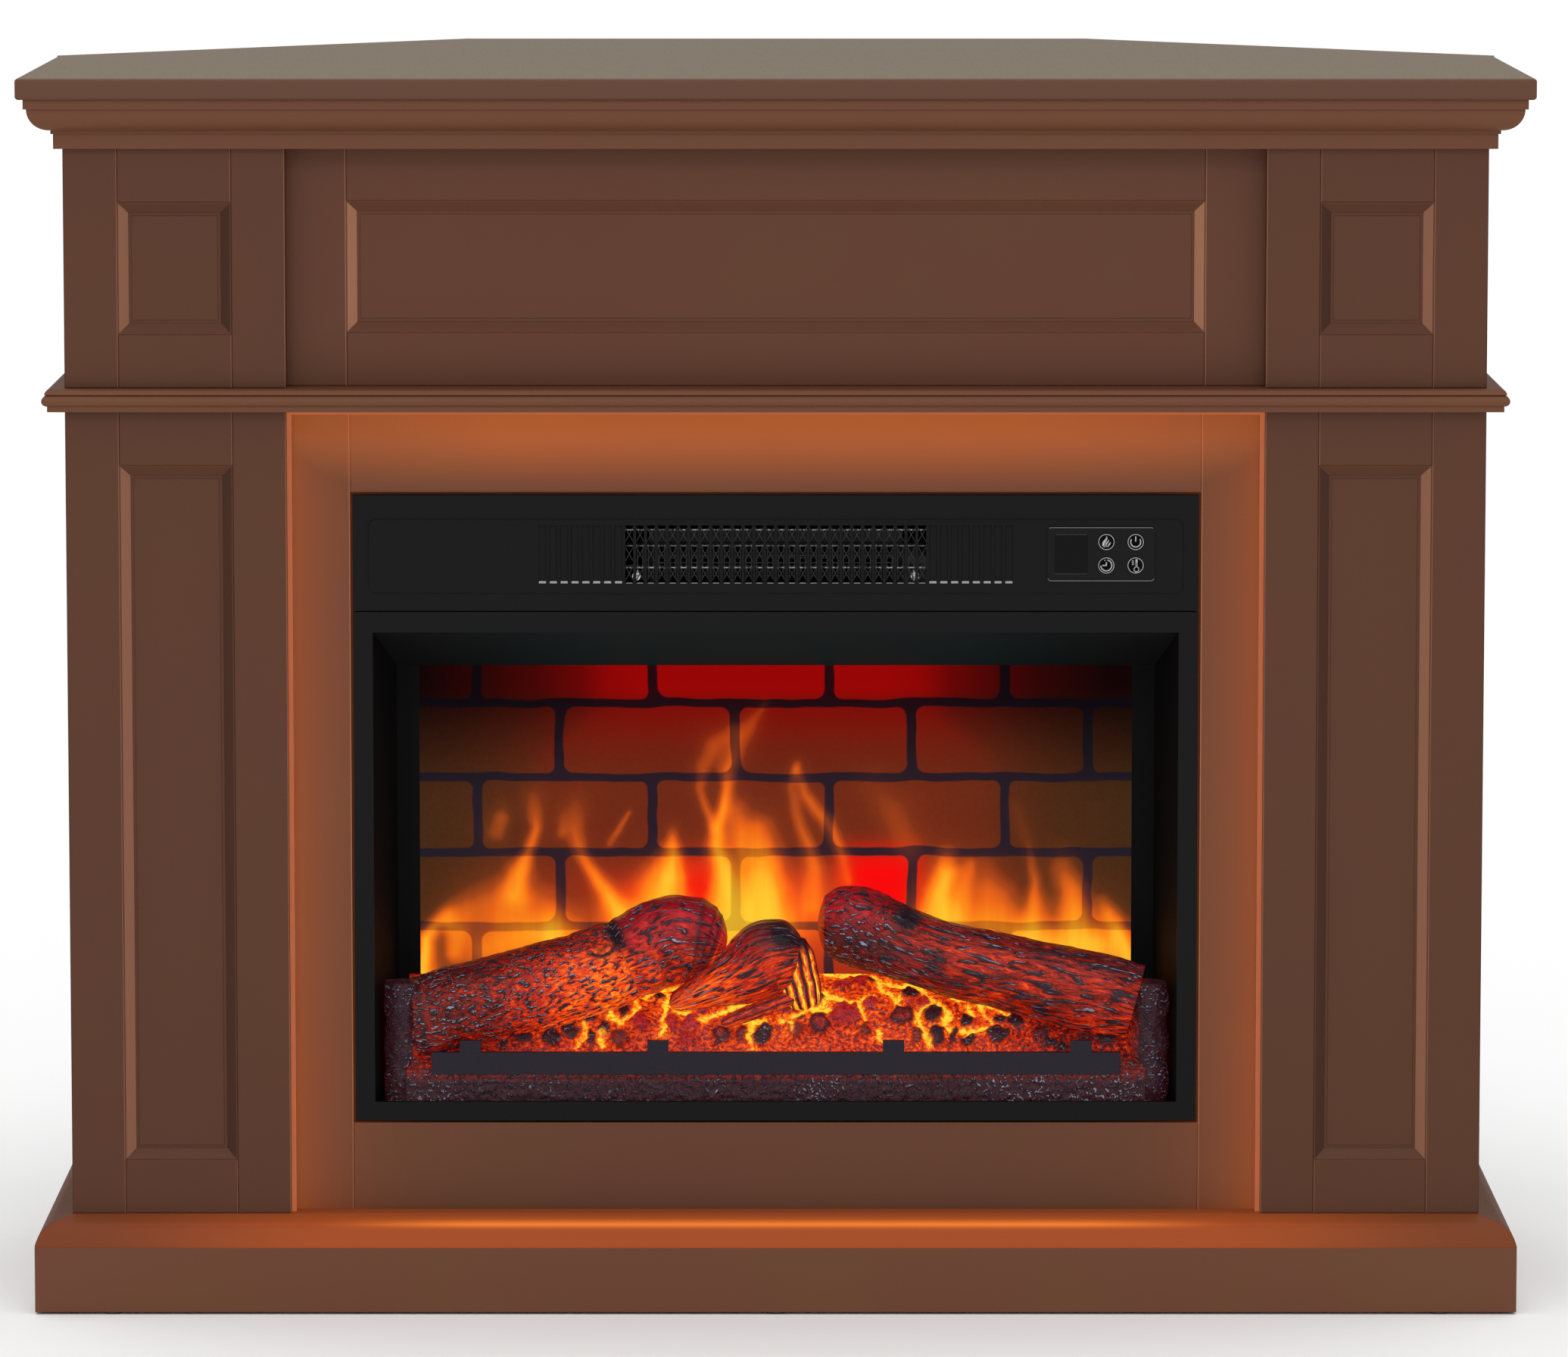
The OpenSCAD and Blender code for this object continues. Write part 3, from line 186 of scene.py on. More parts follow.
class Net:
    """A node tree built with short calls, for a material with the row frame's metres or for the world."""

    def __init__(self, name, owners=bpy.data.materials, place="Object"):
        self.mat = owners.new(name)
        self.mat.use_nodes = True
        self.tree = self.mat.node_tree
        self.tree.nodes.clear()
        self.coord = self.add("ShaderNodeTexCoord").outputs[place]
        self.x, self.y, self.z = self.add("ShaderNodeSeparateXYZ", {0: self.coord}).outputs

    def add(self, kind, inputs=None, **props):
        node = self.tree.nodes.new(kind)
        for key, value in props.items():
            setattr(node, key, value)
        for key, value in (inputs or {}).items():
            if isinstance(value, bpy.types.NodeSocket):
                self.tree.links.new(value, node.inputs[key])
            else:
                node.inputs[key].default_value = value
        return node

    def math(self, op, a, b=0.0, clamp=False):
        return self.add("ShaderNodeMath", {0: a, 1: b}, operation=op, use_clamp=clamp).outputs[0]

    def times(self, *values):
        """The product of two or more values."""
        return reduce(lambda a, b: self.math("MULTIPLY", a, b), values)

    def plus(self, *values):
        """The sum of two or more values."""
        return reduce(lambda a, b: self.math("ADD", a, b), values)

    def minus(self, a, b):
        return self.math("SUBTRACT", a, b)

    def vector(self, op, a, b):
        return self.add("ShaderNodeVectorMath", {0: a, 1: b}, operation=op).outputs[0]

    def aside(self):
        """Distance from the middle of the object."""
        return self.math("ABSOLUTE", self.x)

    def facing(self):
        """The three parts of the true direction that the face looks in."""
        normal = self.add("ShaderNodeNewGeometry").outputs["True Normal"]
        return self.add("ShaderNodeSeparateXYZ", {0: normal}).outputs

    def noise(self, scale, detail=2.0, rough=0.5, vector=None, bend=0.0):
        return self.add("ShaderNodeTexNoise", {
            "Vector": vector or self.coord, "Scale": scale, "Detail": detail, "Roughness": rough,
            "Distortion": bend}).outputs["Fac"]

    def cells(self, scale, feature="F1"):
        return self.add("ShaderNodeTexVoronoi", {"Vector": self.coord, "Scale": scale},
                        feature=feature).outputs["Distance"]

    def between(self, value, a, b, low=0.0, high=1.0, smooth=True):
        return self.add("ShaderNodeMapRange", {
            "Value": value, "From Min": a, "From Max": b, "To Min": low, "To Max": high},
            interpolation_type="SMOOTHSTEP" if smooth else "LINEAR").outputs[0]

    def bell(self, value, centre, width):
        off = self.times(self.minus(value, centre), 1 / width)
        return self.math("EXPONENT", self.times(off, off, -1.0))

    def field(self, name):
        return self.add("ShaderNodeAttribute", attribute_name=name).outputs["Fac"]

    def mix(self, share, a, b, kind="MIX"):
        return self.add("ShaderNodeMix", {0: share, 6: rgb(a), 7: rgb(b)}, data_type="RGBA",
                        blend_type=kind, clamp_factor=True).outputs[2]

    def lit(self, share, colour):
        """A colour's share of light."""
        return self.mix(share, 0.0, colour)

    def join(self, a, b, kind="ADD"):
        return self.mix(1.0, a, b, kind)

    def ramp(self, value, stops):
        node = self.add("ShaderNodeValToRGB", {0: value})
        points = node.color_ramp.elements
        points[0].position, points[0].color = stops[0][0], rgb(stops[0][1])
        points[1].position, points[1].color = stops[-1][0], rgb(stops[-1][1])
        for where, colour in stops[1:-1]:
            points.new(where).color = rgb(colour)
        return node.outputs["Color"]

    def bump(self, height, distance, strength=1.0, rounded=0.0):
        """A bumpy surface, its edges rounded to the radius given."""
        inputs = {"Height": height, "Distance": distance, "Strength": strength}
        if rounded:
            inputs["Normal"] = self.add("ShaderNodeBevel", {"Radius": rounded}, samples=4).outputs[0]
        return self.add("ShaderNodeBump", inputs).outputs[0]

    def surface(self, base, rough, normal=None, **more):
        inputs = {"Base Color": rgb(base), "Roughness": rough}
        if normal:
            inputs["Normal"] = normal
        if "Emission_Color" in more:
            inputs["Emission Strength"] = 1.0
        inputs.update({key.replace("_", " "): value for key, value in more.items()})
        shader = self.add("ShaderNodeBsdfPrincipled", inputs)
        self.add("ShaderNodeOutputMaterial", {0: shader.outputs[0]})
        return self.mat


def rgb(c):
    """A colour as the four numbers that a socket takes; a socket stays as it is."""
    if isinstance(c, bpy.types.NodeSocket):
        return c
    return (c, c, c, 1.0) if isinstance(c, (int, float)) else (c[0], c[1], c[2], 1.0)


def tinted(colour, share):
    """A colour made darker or lighter."""
    return tuple(c * share for c in colour)


# ---------------------------------------------------------------- finishes

BROWN = (0.118, 0.0445, 0.0200)
BROWN_RED = (0.117, 0.0410, 0.0205)
PILASTER_IN = 0.410     # the pilasters' inner edges across
SHELF_Z = 0.7625        # the underside of the shelf line
CAP_ARRIS_Z = 0.0752    # the sharp edge of the plinth's moulding
EMBER_RAMP = [(0.0, (0.012, 0, 0)), (0.2, (0.110, 0.0025, 0.0010)), (0.4, (0.42, 0.014, 0.002)),
              (0.58, (0.84, 0.050, 0.0035)), (0.74, (1.0, 0.16, 0.006)), (0.88, (1.0, 0.42, 0.012)),
              (1.0, (1.0, 0.72, 0.045))]
FLAME_RAMP = [(0.0, (0, 0, 0)), (0.18, (0.055, 0.009, 0.001)), (0.38, (0.30, 0.045, 0.003)),
              (0.58, (0.78, 0.125, 0.005)), (0.78, (1.0, 0.27, 0.009)), (1.0, (1.0, 0.60, 0.030))]


def painted_board(name, tint=1.0, glow=None, gloss=0.2, painted_top_sheen=False):
    """Satin brown lacquer on fibreboard: soft mottling, fine roller texture, painted light on edges and tops.
    """
    n = Net(name)
    cloud = n.noise(5.0, 3.0, 0.55)
    fleck = n.noise(420.0, 2.0, 0.6)
    tone = n.plus(n.times(cloud, 0.8), n.times(fleck, 0.2))
    base = n.mix(n.between(tone, 0.35, 0.65), tinted(BROWN_RED, tint), tinted(BROWN, tint))
    facing = n.facing()
    inward = n.times(facing[0], n.math("SIGN", n.times(n.x, -1.0)))
    front = n.math("LESS_THAN", facing[1], -0.5)
    # Painted highlight: front bevels and eased edges that face the middle get a light colour, strongest near
    # the middle.
    highlight_share = n.between(n.aside(), 0.36, 0.40, 0.95, 0.58)
    base = n.mix(n.times(n.between(inward, 0.3, 0.5), front, highlight_share), base, (0.37, 0.165, 0.096))
    # Painted shade: front bevels and eased edges that face outward get a dark colour.
    base = n.mix(n.times(n.between(inward, -0.3, -0.5), front, 0.5), base, (0.02, 0.006, 0.004))
    # Painted sheen: faces that look up get a lighter, greyer colour, standing in for the sky's reflection at
    # a low angle.
    if painted_top_sheen:
        base = n.mix(n.between(facing[2], 0.7, 0.95), base, (0.146, 0.103, 0.060))
    more = {"Emission_Color": glow(n)} if glow else {}
    return n.surface(base, n.between(fleck, 0.3, 0.7, 0.46, 0.56),
                     n.bump(n.noise(700.0), 0.0001, 0.4, 0.0007), Specular_IOR_Level=gloss, **more)


def surround_glow(n):
    """Light of the strips on the set-back front: it falls off from the pilasters and the shelf."""
    side = n.math("EXPONENT", n.times(n.minus(PILASTER_IN, n.aside()), -1 / 0.034))
    top = n.between(n.minus(SHELF_Z, n.z), 0.014, 0.082, 1.0, 0.0)
    ends = n.between(n.aside(), 0.20, 0.42, 1.0, 0.72)
    wave = n.between(n.noise(14.0), 0.3, 0.7, 0.96, 1.04, False)
    return n.join(n.lit(n.times(top, ends, wave), (0.325, 0.060, 0.0015)),
                  n.lit(n.times(side, wave), (0.215, 0.034, 0.0)), "LIGHTEN")


def cap_glow(n):
    """Warm light that spills on the plinth's moulding between the pilasters."""
    run = n.between(n.aside(), 0.36, 0.60, 1.0, 0.30)
    mitre = n.math("LESS_THAN", n.plus(n.y, DEPTH / 1000, n.aside()), 0.6305)
    back = n.between(n.y, -0.372, -0.332, 1.0, 0.42)
    middle = n.between(n.aside(), 0.24, 0.40, 1.0, 0.0)
    arris = n.times(n.bell(n.z, CAP_ARRIS_Z, 0.0022), middle)
    return n.join(n.lit(n.times(run, mitre, back), (0.262, 0.034, 0.0)),
                  n.lit(n.times(arris, mitre), (0.52, 0.13, 0.012)))


def carcass_board():
    """Brown stained chipboard."""
    n = Net("carcass_board")
    chips = n.cells(260.0)
    base = n.mix(n.noise(180.0, 4.0, 0.7), (0.085, 0.042, 0.022), (0.15, 0.08, 0.045))
    base = n.mix(n.between(chips, 0.0, 0.6, 0.25, 0.0), base, (0.05, 0.022, 0.012))
    return n.surface(base, 0.72, n.bump(n.noise(500.0, 3.0), 0.0003, 0.6))


def sheet_metal(name, base, rough, metal):
    """Plain plated or rolled sheet with faint streaks and fine handling marks."""
    n = Net(name)
    streak = n.noise(1.0, 4.0, 0.6, n.vector("MULTIPLY", n.coord, (40, 40, 900)))
    smear = n.noise(25.0, 4.0, 0.65)
    tone = n.mix(n.plus(n.times(streak, 0.5), n.times(smear, 0.5)), tinted(base, 0.82), base)
    return n.surface(tone, n.between(smear, 0.3, 0.7, rough - 0.06, rough + 0.08),
                     n.bump(streak, 0.00008, 0.4, 0.0003), Metallic=metal)


def black_steel():
    """Satin black powder coat: very fine orange peel, slight cloudiness."""
    n = Net("black_steel")
    peel = n.noise(1500.0)
    tone = n.mix(n.noise(7.0), 0.00442, (0.00572, 0.00572, 0.00598))
    return n.surface(tone, n.between(peel, 0.3, 0.7, 0.39, 0.47), n.bump(peel, 0.00006, 0.5, 0.0006),
                     Specular_IOR_Level=0.10)


def chamber_steel():
    """The fire chamber's liner: matt black sheet, its ceiling painted lighter and blue-green to offset the
    fire's red light on it.
    """
    n = Net("black_steel_liner")
    peel = n.noise(900.0)
    tone = n.mix(n.noise(7.0), 0.0044, 0.0056)
    # Painted light: faces that look down get a lighter colour, blue-green most near the middle, so the fire's
    # red light on the ceiling reads as grey.
    firelight_offset = n.mix(n.between(n.aside(), 0.12, 0.32), (0.0078, 0.0205, 0.0205), (0.0092, 0.0100, 0.0102))
    tone = n.mix(n.between(n.facing()[2], -0.5, -0.8), tone, firelight_offset)
    return n.surface(tone, n.between(peel, 0.3, 0.7, 0.62, 0.72), n.bump(peel, 0.00006, 0.5),
                     Specular_IOR_Level=0.05)


def moulded(name, base, rough, spec=0.5):
    """Moulded plastic, rubber or glass with a fine surface and slight tone changes."""
    n = Net(name)
    fine = n.noise(900.0, 3.0)
    return n.surface(n.mix(n.noise(30.0, 3.0), tinted(base, 0.85), base),
                     n.between(fine, 0.3, 0.7, max(rough - 0.04, 0.02), rough + 0.06),
                     n.bump(fine, 0.00008, 0.5), Specular_IOR_Level=spec)


def lit_diffuser():
    """Milky strip with warm light behind it."""
    n = Net("led_diffuser")
    wave = n.noise(60.0)
    return n.surface((0.02, 0.008, 0.005), 0.5, n.bump(wave, 0.0001, 0.3),
                     Emission_Color=n.mix(wave, (0.36, 0.078, 0.018), (0.44, 0.095, 0.022)))


def heater_ribs():
    """Aluminium fins coloured near black as painted shade behind the grille, painted highlights in bars
    across them, white ceramic posts at the ends.
    """
    n = Net("heater_ribs")
    # Painted shade: the fins are coloured near black.
    tone = n.mix(n.noise(160.0, 3.0), 0.004, (0.016, 0.0155, 0.015))
    # Painted highlights: bright broken bars across the fins where the heater's wires catch the light.
    highlight_bars_at = n.plus(*(n.times(n.bell(n.z, z, 0.0008), share)
                       for z, share in ((0.6593, 1.0), (0.6273, 0.8), (0.6458, 0.25))))
    tone = n.mix(n.times(highlight_bars_at, n.between(n.noise(420.0), 0.42, 0.55)), tone, (0.75, 0.75, 0.77))
    post = n.between(n.times(n.bell(n.aside(), 0.1173, 0.0042), n.bell(n.z, 0.6203, 0.0045)), 0.25, 0.4)
    tone = n.mix(n.times(post, n.between(n.noise(500.0), 0.40, 0.52)), tone, (0.8, 0.8, 0.82))
    return n.surface(tone, 0.4, n.bump(n.noise(700.0), 0.0001, 0.5), Metallic=0.2)


def circuit_board():
    """Green board with a net of copper tracks."""
    n = Net("circuit_board")
    trace = n.cells(420.0, "DISTANCE_TO_EDGE")
    base = n.mix(n.between(trace, 0.04, 0.09), (0.10, 0.22, 0.05), (0.008, 0.055, 0.02))
    return n.surface(base, 0.42, n.bump(trace, 0.0001, 0.4))


def iron():
    """Cast grate bar, slightly violet from the light round it."""
    n = Net("grate_iron")
    fine = n.noise(600.0, 4.0, 0.65)
    return n.surface(n.mix(fine, (0.0078, 0.0048, 0.0108), (0.0160, 0.0104, 0.0205)),
                     n.between(fine, 0.3, 0.7, 0.42, 0.6), n.bump(fine, 0.0003, 0.7, 0.0012),
                     Specular_IOR_Level=0.22)


def ember_finish(name):
    """Painted resin lit from inside: dark glossy ridges with painted pale highlights on their upper sides
    over a glowing ground.

    Reads the fields of LOOKS: along and across place the grain, the others are shares.
    """
    n = Net(name)
    heat, dark, crimson, ridge, u, v = (n.field(k) for k in LOOKS)
    at = n.add("ShaderNodeCombineXYZ", {0: u, 1: v, 2: 0.0}).outputs[0]
    swirl = n.add("ShaderNodeTexNoise", {"Vector": at, "Scale": 0.8, "Detail": 1.0}).outputs["Color"]
    swirl = n.vector("MULTIPLY", n.vector("SUBTRACT", swirl, (0.5, 0.5, 0.5)), (1.2, 1.2, 0.0))
    bent = n.vector("ADD", at, swirl)
    grain, lifted = (n.noise(1.5, 1.3, 0.45, v) for v in (bent, n.vector("ADD", bent, (0.03, -0.15, 0.0))))
    marble = n.noise(1.7, 2.5, 0.55, bent, 1.4)
    fine = n.noise(4.2, 2.0, 0.5, bent, 1.2)
    # Ridges of bark, and the painted highlights (crests) on their upper sides.
    worm = n.times(n.between(grain, 0.525, 0.585), ridge)
    crest = n.times(n.between(n.minus(grain, lifted), 0.026, 0.046), n.between(grain, 0.54, 0.58),
                    n.between(fine, 0.44, 0.56), n.math("MAXIMUM", ridge, dark),
                    n.between(n.noise(24.0), 0.40, 0.60, 0.15, 1.0))
    shade = n.math("MAXIMUM", n.times(worm, 0.94), dark)
    base = n.mix(crimson, (0.032, 0.004, 0.002), (0.085, 0.005, 0.009))
    base = n.mix(shade, base, n.mix(n.noise(40.0), (0.020, 0.0085, 0.0115), (0.023, 0.0155, 0.0260)))
    # Painted highlight: the crests take a pale colour.
    base = n.mix(n.times(crest, 0.60), base, (0.42, 0.40, 0.52))
    # The ground's light, with fine bright threads.
    thread = n.between(n.math("ABSOLUTE", n.minus(fine, 0.5)), 0.0, 0.05, 0.15, -0.04)
    t = n.plus(heat, n.times(n.minus(marble, 0.5), 0.80), n.times(n.minus(0.47, grain), 0.75), thread)
    light = n.ramp(n.math("ADD", t, 0.0, clamp=True), EMBER_RAMP)
    blush = n.lit(n.times(crimson, n.between(marble, 0.3, 0.7, 0.35, 1.1, False)), (0.62, 0.010, 0.022))
    light = n.mix(n.times(crimson, 0.62), light, blush)
    # Painted highlight: the crests also glow faintly.
    light = n.join(n.mix(shade, light, 0.0), n.lit(n.times(crest, 0.06), (0.50, 0.48, 0.60)))
    height = n.plus(n.times(worm, 0.75), n.times(marble, 0.35), n.times(dark, 0.25))
    return n.surface(base, n.between(marble, 0.3, 0.7, 0.20, 0.34), n.bump(height, 0.0016, 0.9),
                     Emission_Color=light, Specular_IOR_Level=0.15)


def screen_finish():
    """The printed brick screen, lit from behind, with the fire's light on its front."""
    n = Net("flame_glass")
    edge, flame, red, low, blaze = (n.field(k) for k in ("brick", "fire", "red", "warmth", "blaze"))
    speck = n.noise(260.0, 3.0, 0.6)
    inside = n.between(edge, -0.7, 0.9)
    # Painted firelight: bricks are lighter where the firelight field is high.
    brick = n.mix(low, (0.0060, 0.0008, 0.0010), (0.056, 0.0235, 0.0080))
    brick = n.mix(n.times(n.between(speck, 0.3, 0.7), 0.10), brick, 0.0)
    brick = n.join(brick, n.lit(n.times(red, 0.5), (0.60, 0.0, 0.0)))
    joint = n.mix(low, (0.0030, 0.0018, 0.0032), (0.0165, 0.0115, 0.019))
    joint = n.join(joint, n.lit(n.times(red, 0.05), (0.3, 0.001, 0.001)))
    over_joint = n.between(flame, 0.4, 1.0, 0.35, 0.72)
    fire = n.lit(n.between(inside, 0.0, 1.0, over_joint, 1.0, False), n.ramp(flame, FLAME_RAMP))
    wall = n.mix(n.between(flame, 0.25, 0.9, 0.0, 0.85), n.mix(inside, joint, brick), 0.0)
    blaze = n.times(blaze, inside, n.between(flame, 0.45, 0.75, 1.0, 0.0))
    glow = n.mix(blaze, n.join(wall, fire), (0.95, 0.003, 0.003))
    glow = n.lit(n.between(n.facing()[1], -0.5, -0.8), glow)
    return n.surface((0.0008, 0.0008, 0.001), 0.6, n.bump(speck, 0.0001, 0.2), Emission_Color=glow,
                     Specular_IOR_Level=0.0)


for imported in list(bpy.data.materials):
    imported.name = "cad_" + imported.name
FINISHES = {
    "painted_board": painted_board("painted_board", 0.81),
    "carcass_board": carcass_board(),
    "led_diffuser": lit_diffuser(),
    "black_steel": black_steel(),
    "heater_ribs": heater_ribs(),
    "circuit_board": circuit_board(),
    "flame_glass": screen_finish(),
    "glowing_embers": ember_finish("glowing_embers"),
    "log_resin": ember_finish("log_resin"),
    "grate_iron": iron(),
}
# Colour, roughness and share of metal.
for slot, look in {
        "zinc_steel": ((0.55, 0.55, 0.56), 0.38, 1.0),
        "led_channel": ((0.55, 0.55, 0.57), 0.35, 1.0),
        "mesh_wire": ((0.013, 0.013, 0.0135), 0.5, 0.3),
        "blower_shell": ((0.022, 0.022, 0.023), 0.5, 0.3),
        # blower_aluminium and motor_steel are far darker than bare metal: painted shade inside the housing.
        "blower_aluminium": ((0.20, 0.20, 0.21), 0.4, 0.9),
        "motor_steel": ((0.12, 0.12, 0.125), 0.45, 0.8),
        "rotor_foil": ((0.85, 0.85, 0.86), 0.12, 1.0)}.items():
    FINISHES[slot] = sheet_metal(slot, *look)
# Colour, roughness and specular level.
for slot, look in {
        "rubber": ((0.02, 0.02, 0.02), 0.7),
        "driver_plastic": ((0.02, 0.02, 0.02), 0.5),
        "gloss_black": ((0.0056, 0.0056, 0.0058), 0.3, 0.11),
        "display_glass": ((0.0024, 0.0024, 0.0025), 0.12, 0.10),
        "button_black": ((0.0012, 0.0012, 0.0014), 0.35, 0.04)}.items():
    FINISHES[slot] = moulded(slot, *look)
# Nodes whose finish differs from their slot's.
SPECIAL = {}
for names, material in (
        ("surround_stiles surround_rails", painted_board("painted_board_lit", 1.06, surround_glow)),
        ("plinth_cap", painted_board("painted_board_cap", 1.0, cap_glow, 0.06)),
        ("mantel_top top_corner_extension",
         painted_board("painted_board_top", 0.9, gloss=0.32, painted_top_sheen=True)),
        ("chamber_liner", chamber_steel()),
        # Lighter copies of the same paint are painted light: painted sheen on the mouldings' rounded
        # profiles, and the middle's frieze lit brighter.
        ("crown_front crown_returns mid_shelf plinth_front plinth_returns",
         painted_board("painted_moulding", 1.24)),
        ("frieze_stiles frieze_rails frieze_panel", painted_board("painted_frieze", 0.96))):
    SPECIAL.update(dict.fromkeys(names.split(), material))
for part in frame["record"]["subparts"]:
    material = SPECIAL.get(part["node"], FINISHES[part["material_slot"]])
    slots = NODES[part["node"]].data.materials
    if not slots:
        slots.append(material)
    for i in range(len(slots)):
        slots[i] = material
for imported in [m for m in bpy.data.materials if not m.users]:
    bpy.data.materials.remove(imported)


# ---------------------------------------------------------------- brick and flame screen

# Each tongue of flame: places across and up on the screen, half width and strength, in millimetres.
FLAMES = [
    [(-305, 264, 5.9, 1.0), (-302, 294, 5.5, 0.95), (-293, 307, 4.2, 0.7), (-279, 315, 6.3, 0.5),
     (-254, 324, 12.6, 0.3)],
    [(-275, 285, 5.3, 0.55), (-273, 302, 7.4, 0.6), (-281, 313, 5.3, 0.5)],
    [(-230, 319, 12.6, 0.5), (-224, 334, 10.1, 0.85), (-220, 351, 7.6, 0.8), (-211, 373, 3.8, 0.6),
     (-206, 394, 3.4, 0.5), (-209, 419, 5.9, 0.25)],
    [(-193, 298, 8.4, 0.95), (-194, 315, 7.4, 0.6), (-195, 334, 6.3, 0.2)],
    [(-133, 316, 7.6, 0.95), (-144, 338, 4.6, 0.8), (-157, 357, 3.8, 0.6), (-167, 373, 4.2, 0.5),
     (-173, 392, 5.5, 0.38), (-173, 413, 6.3, 0.2)],
    [(-184, 390, 3.4, 0.3), (-185, 407, 4.2, 0.12)],
    [(-242, 390, 6.3, 0.3), (-238, 402, 5.5, 0.35), (-236, 411, 4.2, 0.15)],
    [(-141, 379, 2.5, 0.3), (-133, 390, 1.9, 0.4), (-127, 405, 1.5, 0.35)],
    [(-93, 326, 12.6, 0.9), (-91, 347, 8.4, 1.0), (-88, 368, 4.2, 0.8), (-88, 385, 3.0, 0.5),
     (-88, 394, 3.4, 0.2)],
    [(-112, 321, 12.6, 0.55), (-101, 351, 7.2, 0.5), (-93, 377, 4.2, 0.35)],
    [(-34, 306, 19.0, 1.0), (-40, 334, 10.5, 1.0), (-45, 358, 8.0, 1.0), (-51, 377, 5.9, 0.9),
     (-51, 394, 4.6, 0.8), (-46, 411, 3.8, 0.7), (-43, 428, 3.4, 0.6), (-42, 443, 4.6, 0.5),
     (-34, 460, 5.5, 0.38), (-22, 479, 4.6, 0.3), (-11, 499, 2.1, 0.2)],
    [(-54, 394, 3.0, 0.4), (-62, 411, 2.5, 0.42), (-67, 428, 3.0, 0.4), (-63, 447, 4.6, 0.35),
     (-52, 462, 6.3, 0.35), (-36, 475, 5.1, 0.3)],
    [(-14, 313, 12.6, 0.95), (-15, 334, 10.5, 0.85), (-19, 358, 10.5, 0.7), (-29, 385, 8.4, 0.55),
     (-36, 407, 7.2, 0.4)],
    [(-14, 315, 12.6, 1.0), (-10, 334, 10.5, 0.85), (-7, 358, 8.4, 0.6), (-14, 390, 8.4, 0.45)],
    [(30, 326, 6.3, 0.45), (33, 358, 5.1, 0.5), (26, 385, 3.8, 0.45), (18, 407, 3.8, 0.38),
     (13, 428, 3.8, 0.3), (17, 447, 3.0, 0.3)],
    [(63, 347, 5.1, 0.5), (59, 368, 3.8, 0.5), (44, 400, 4.2, 0.5), (27, 422, 3.8, 0.45),
     (18, 443, 3.0, 0.3)],
    [(114, 377, 10.5, 0.28), (102, 407, 10.5, 0.25), (85, 428, 8.4, 0.15)],
    [(141, 313, 12.6, 1.0), (143, 334, 9.3, 1.0), (148, 353, 7.2, 0.9), (148, 368, 5.5, 0.4)],
    [(157, 315, 8.4, 0.7), (163, 338, 4.6, 0.5), (166, 362, 3.0, 0.3)],
    [(183, 311, 10.5, 0.6), (182, 336, 8.4, 0.4), (181, 360, 8.4, 0.2)],
    [(200, 309, 10.5, 0.5), (195, 334, 8.4, 0.3)],
    [(218, 298, 8.4, 0.8), (222, 321, 5.1, 0.6), (223, 347, 3.8, 0.4), (216, 377, 4.2, 0.18),
     (207, 411, 3.4, 0.1)],
    [(257, 291, 16.9, 0.85), (256, 317, 9.3, 0.8), (254, 336, 7.2, 0.6), (247, 356, 7.2, 0.35),
     (245, 368, 5.5, 0.15)],
    [(301, 283, 7.6, 0.95), (293, 300, 6.3, 0.9), (285, 317, 5.1, 0.6), (280, 328, 4.2, 0.25)],
    [(221, 291, 10.5, 0.7), (276, 287, 12.6, 0.75)],
    [(-247, 287, 12.6, 0.6), (-214, 298, 12.6, 0.7), (-180, 302, 10.5, 0.6)],
]


def tongue(x, z, path, wide):
    """Strength of one tongue of flame, made wider by a factor, at each place of the screen."""
    best = np.zeros_like(x)
    for a, b, t, away in segments(x, z, path):
        off = away / ((a[2] + t * (b[2] - a[2])) * wide)
        best = np.maximum(best, (a[3] + t * (b[3] - a[3])) * np.exp(-off ** 2 * 0.8))
    return best


BRICK_W, BRICK_H = 150.8, 64.2      # pitch of the bricks, mortar included
COURSE_Z = 500.5                    # height of one of the level joints
SHIFTS = (256.0, 185.0)             # sideways place of the even and of the odd courses


def bricks(x, z):
    """Distance in millimetres into the nearest brick, below 0 in the mortar."""
    wx = x + 3.0 * grit(x / 26, z / 26, 5)
    wz = z + 3.6 * grit(x / 30, z / 30, 9)
    row = np.floor((wz - COURSE_Z) / BRICK_H)
    up = wz - COURSE_Z - row * BRICK_H
    along = (wx + np.where(row % 2 == 0, *SHIFTS)) / BRICK_W
    which = np.floor(along)
    across = (along - which) * BRICK_W
    r = 5.0 + 5.0 * lattice(which.astype(np.int64), row.astype(np.int64), 3, 2)
    qx = np.abs(across - BRICK_W / 2) - (BRICK_W / 2 - 4.1 - r)
    qz = np.abs(up - BRICK_H / 2) - (BRICK_H / 2 - 3.6 - r)
    outside = np.hypot(np.maximum(qx, 0), np.maximum(qz, 0)) + np.minimum(np.maximum(qx, qz), 0)
    return r - outside


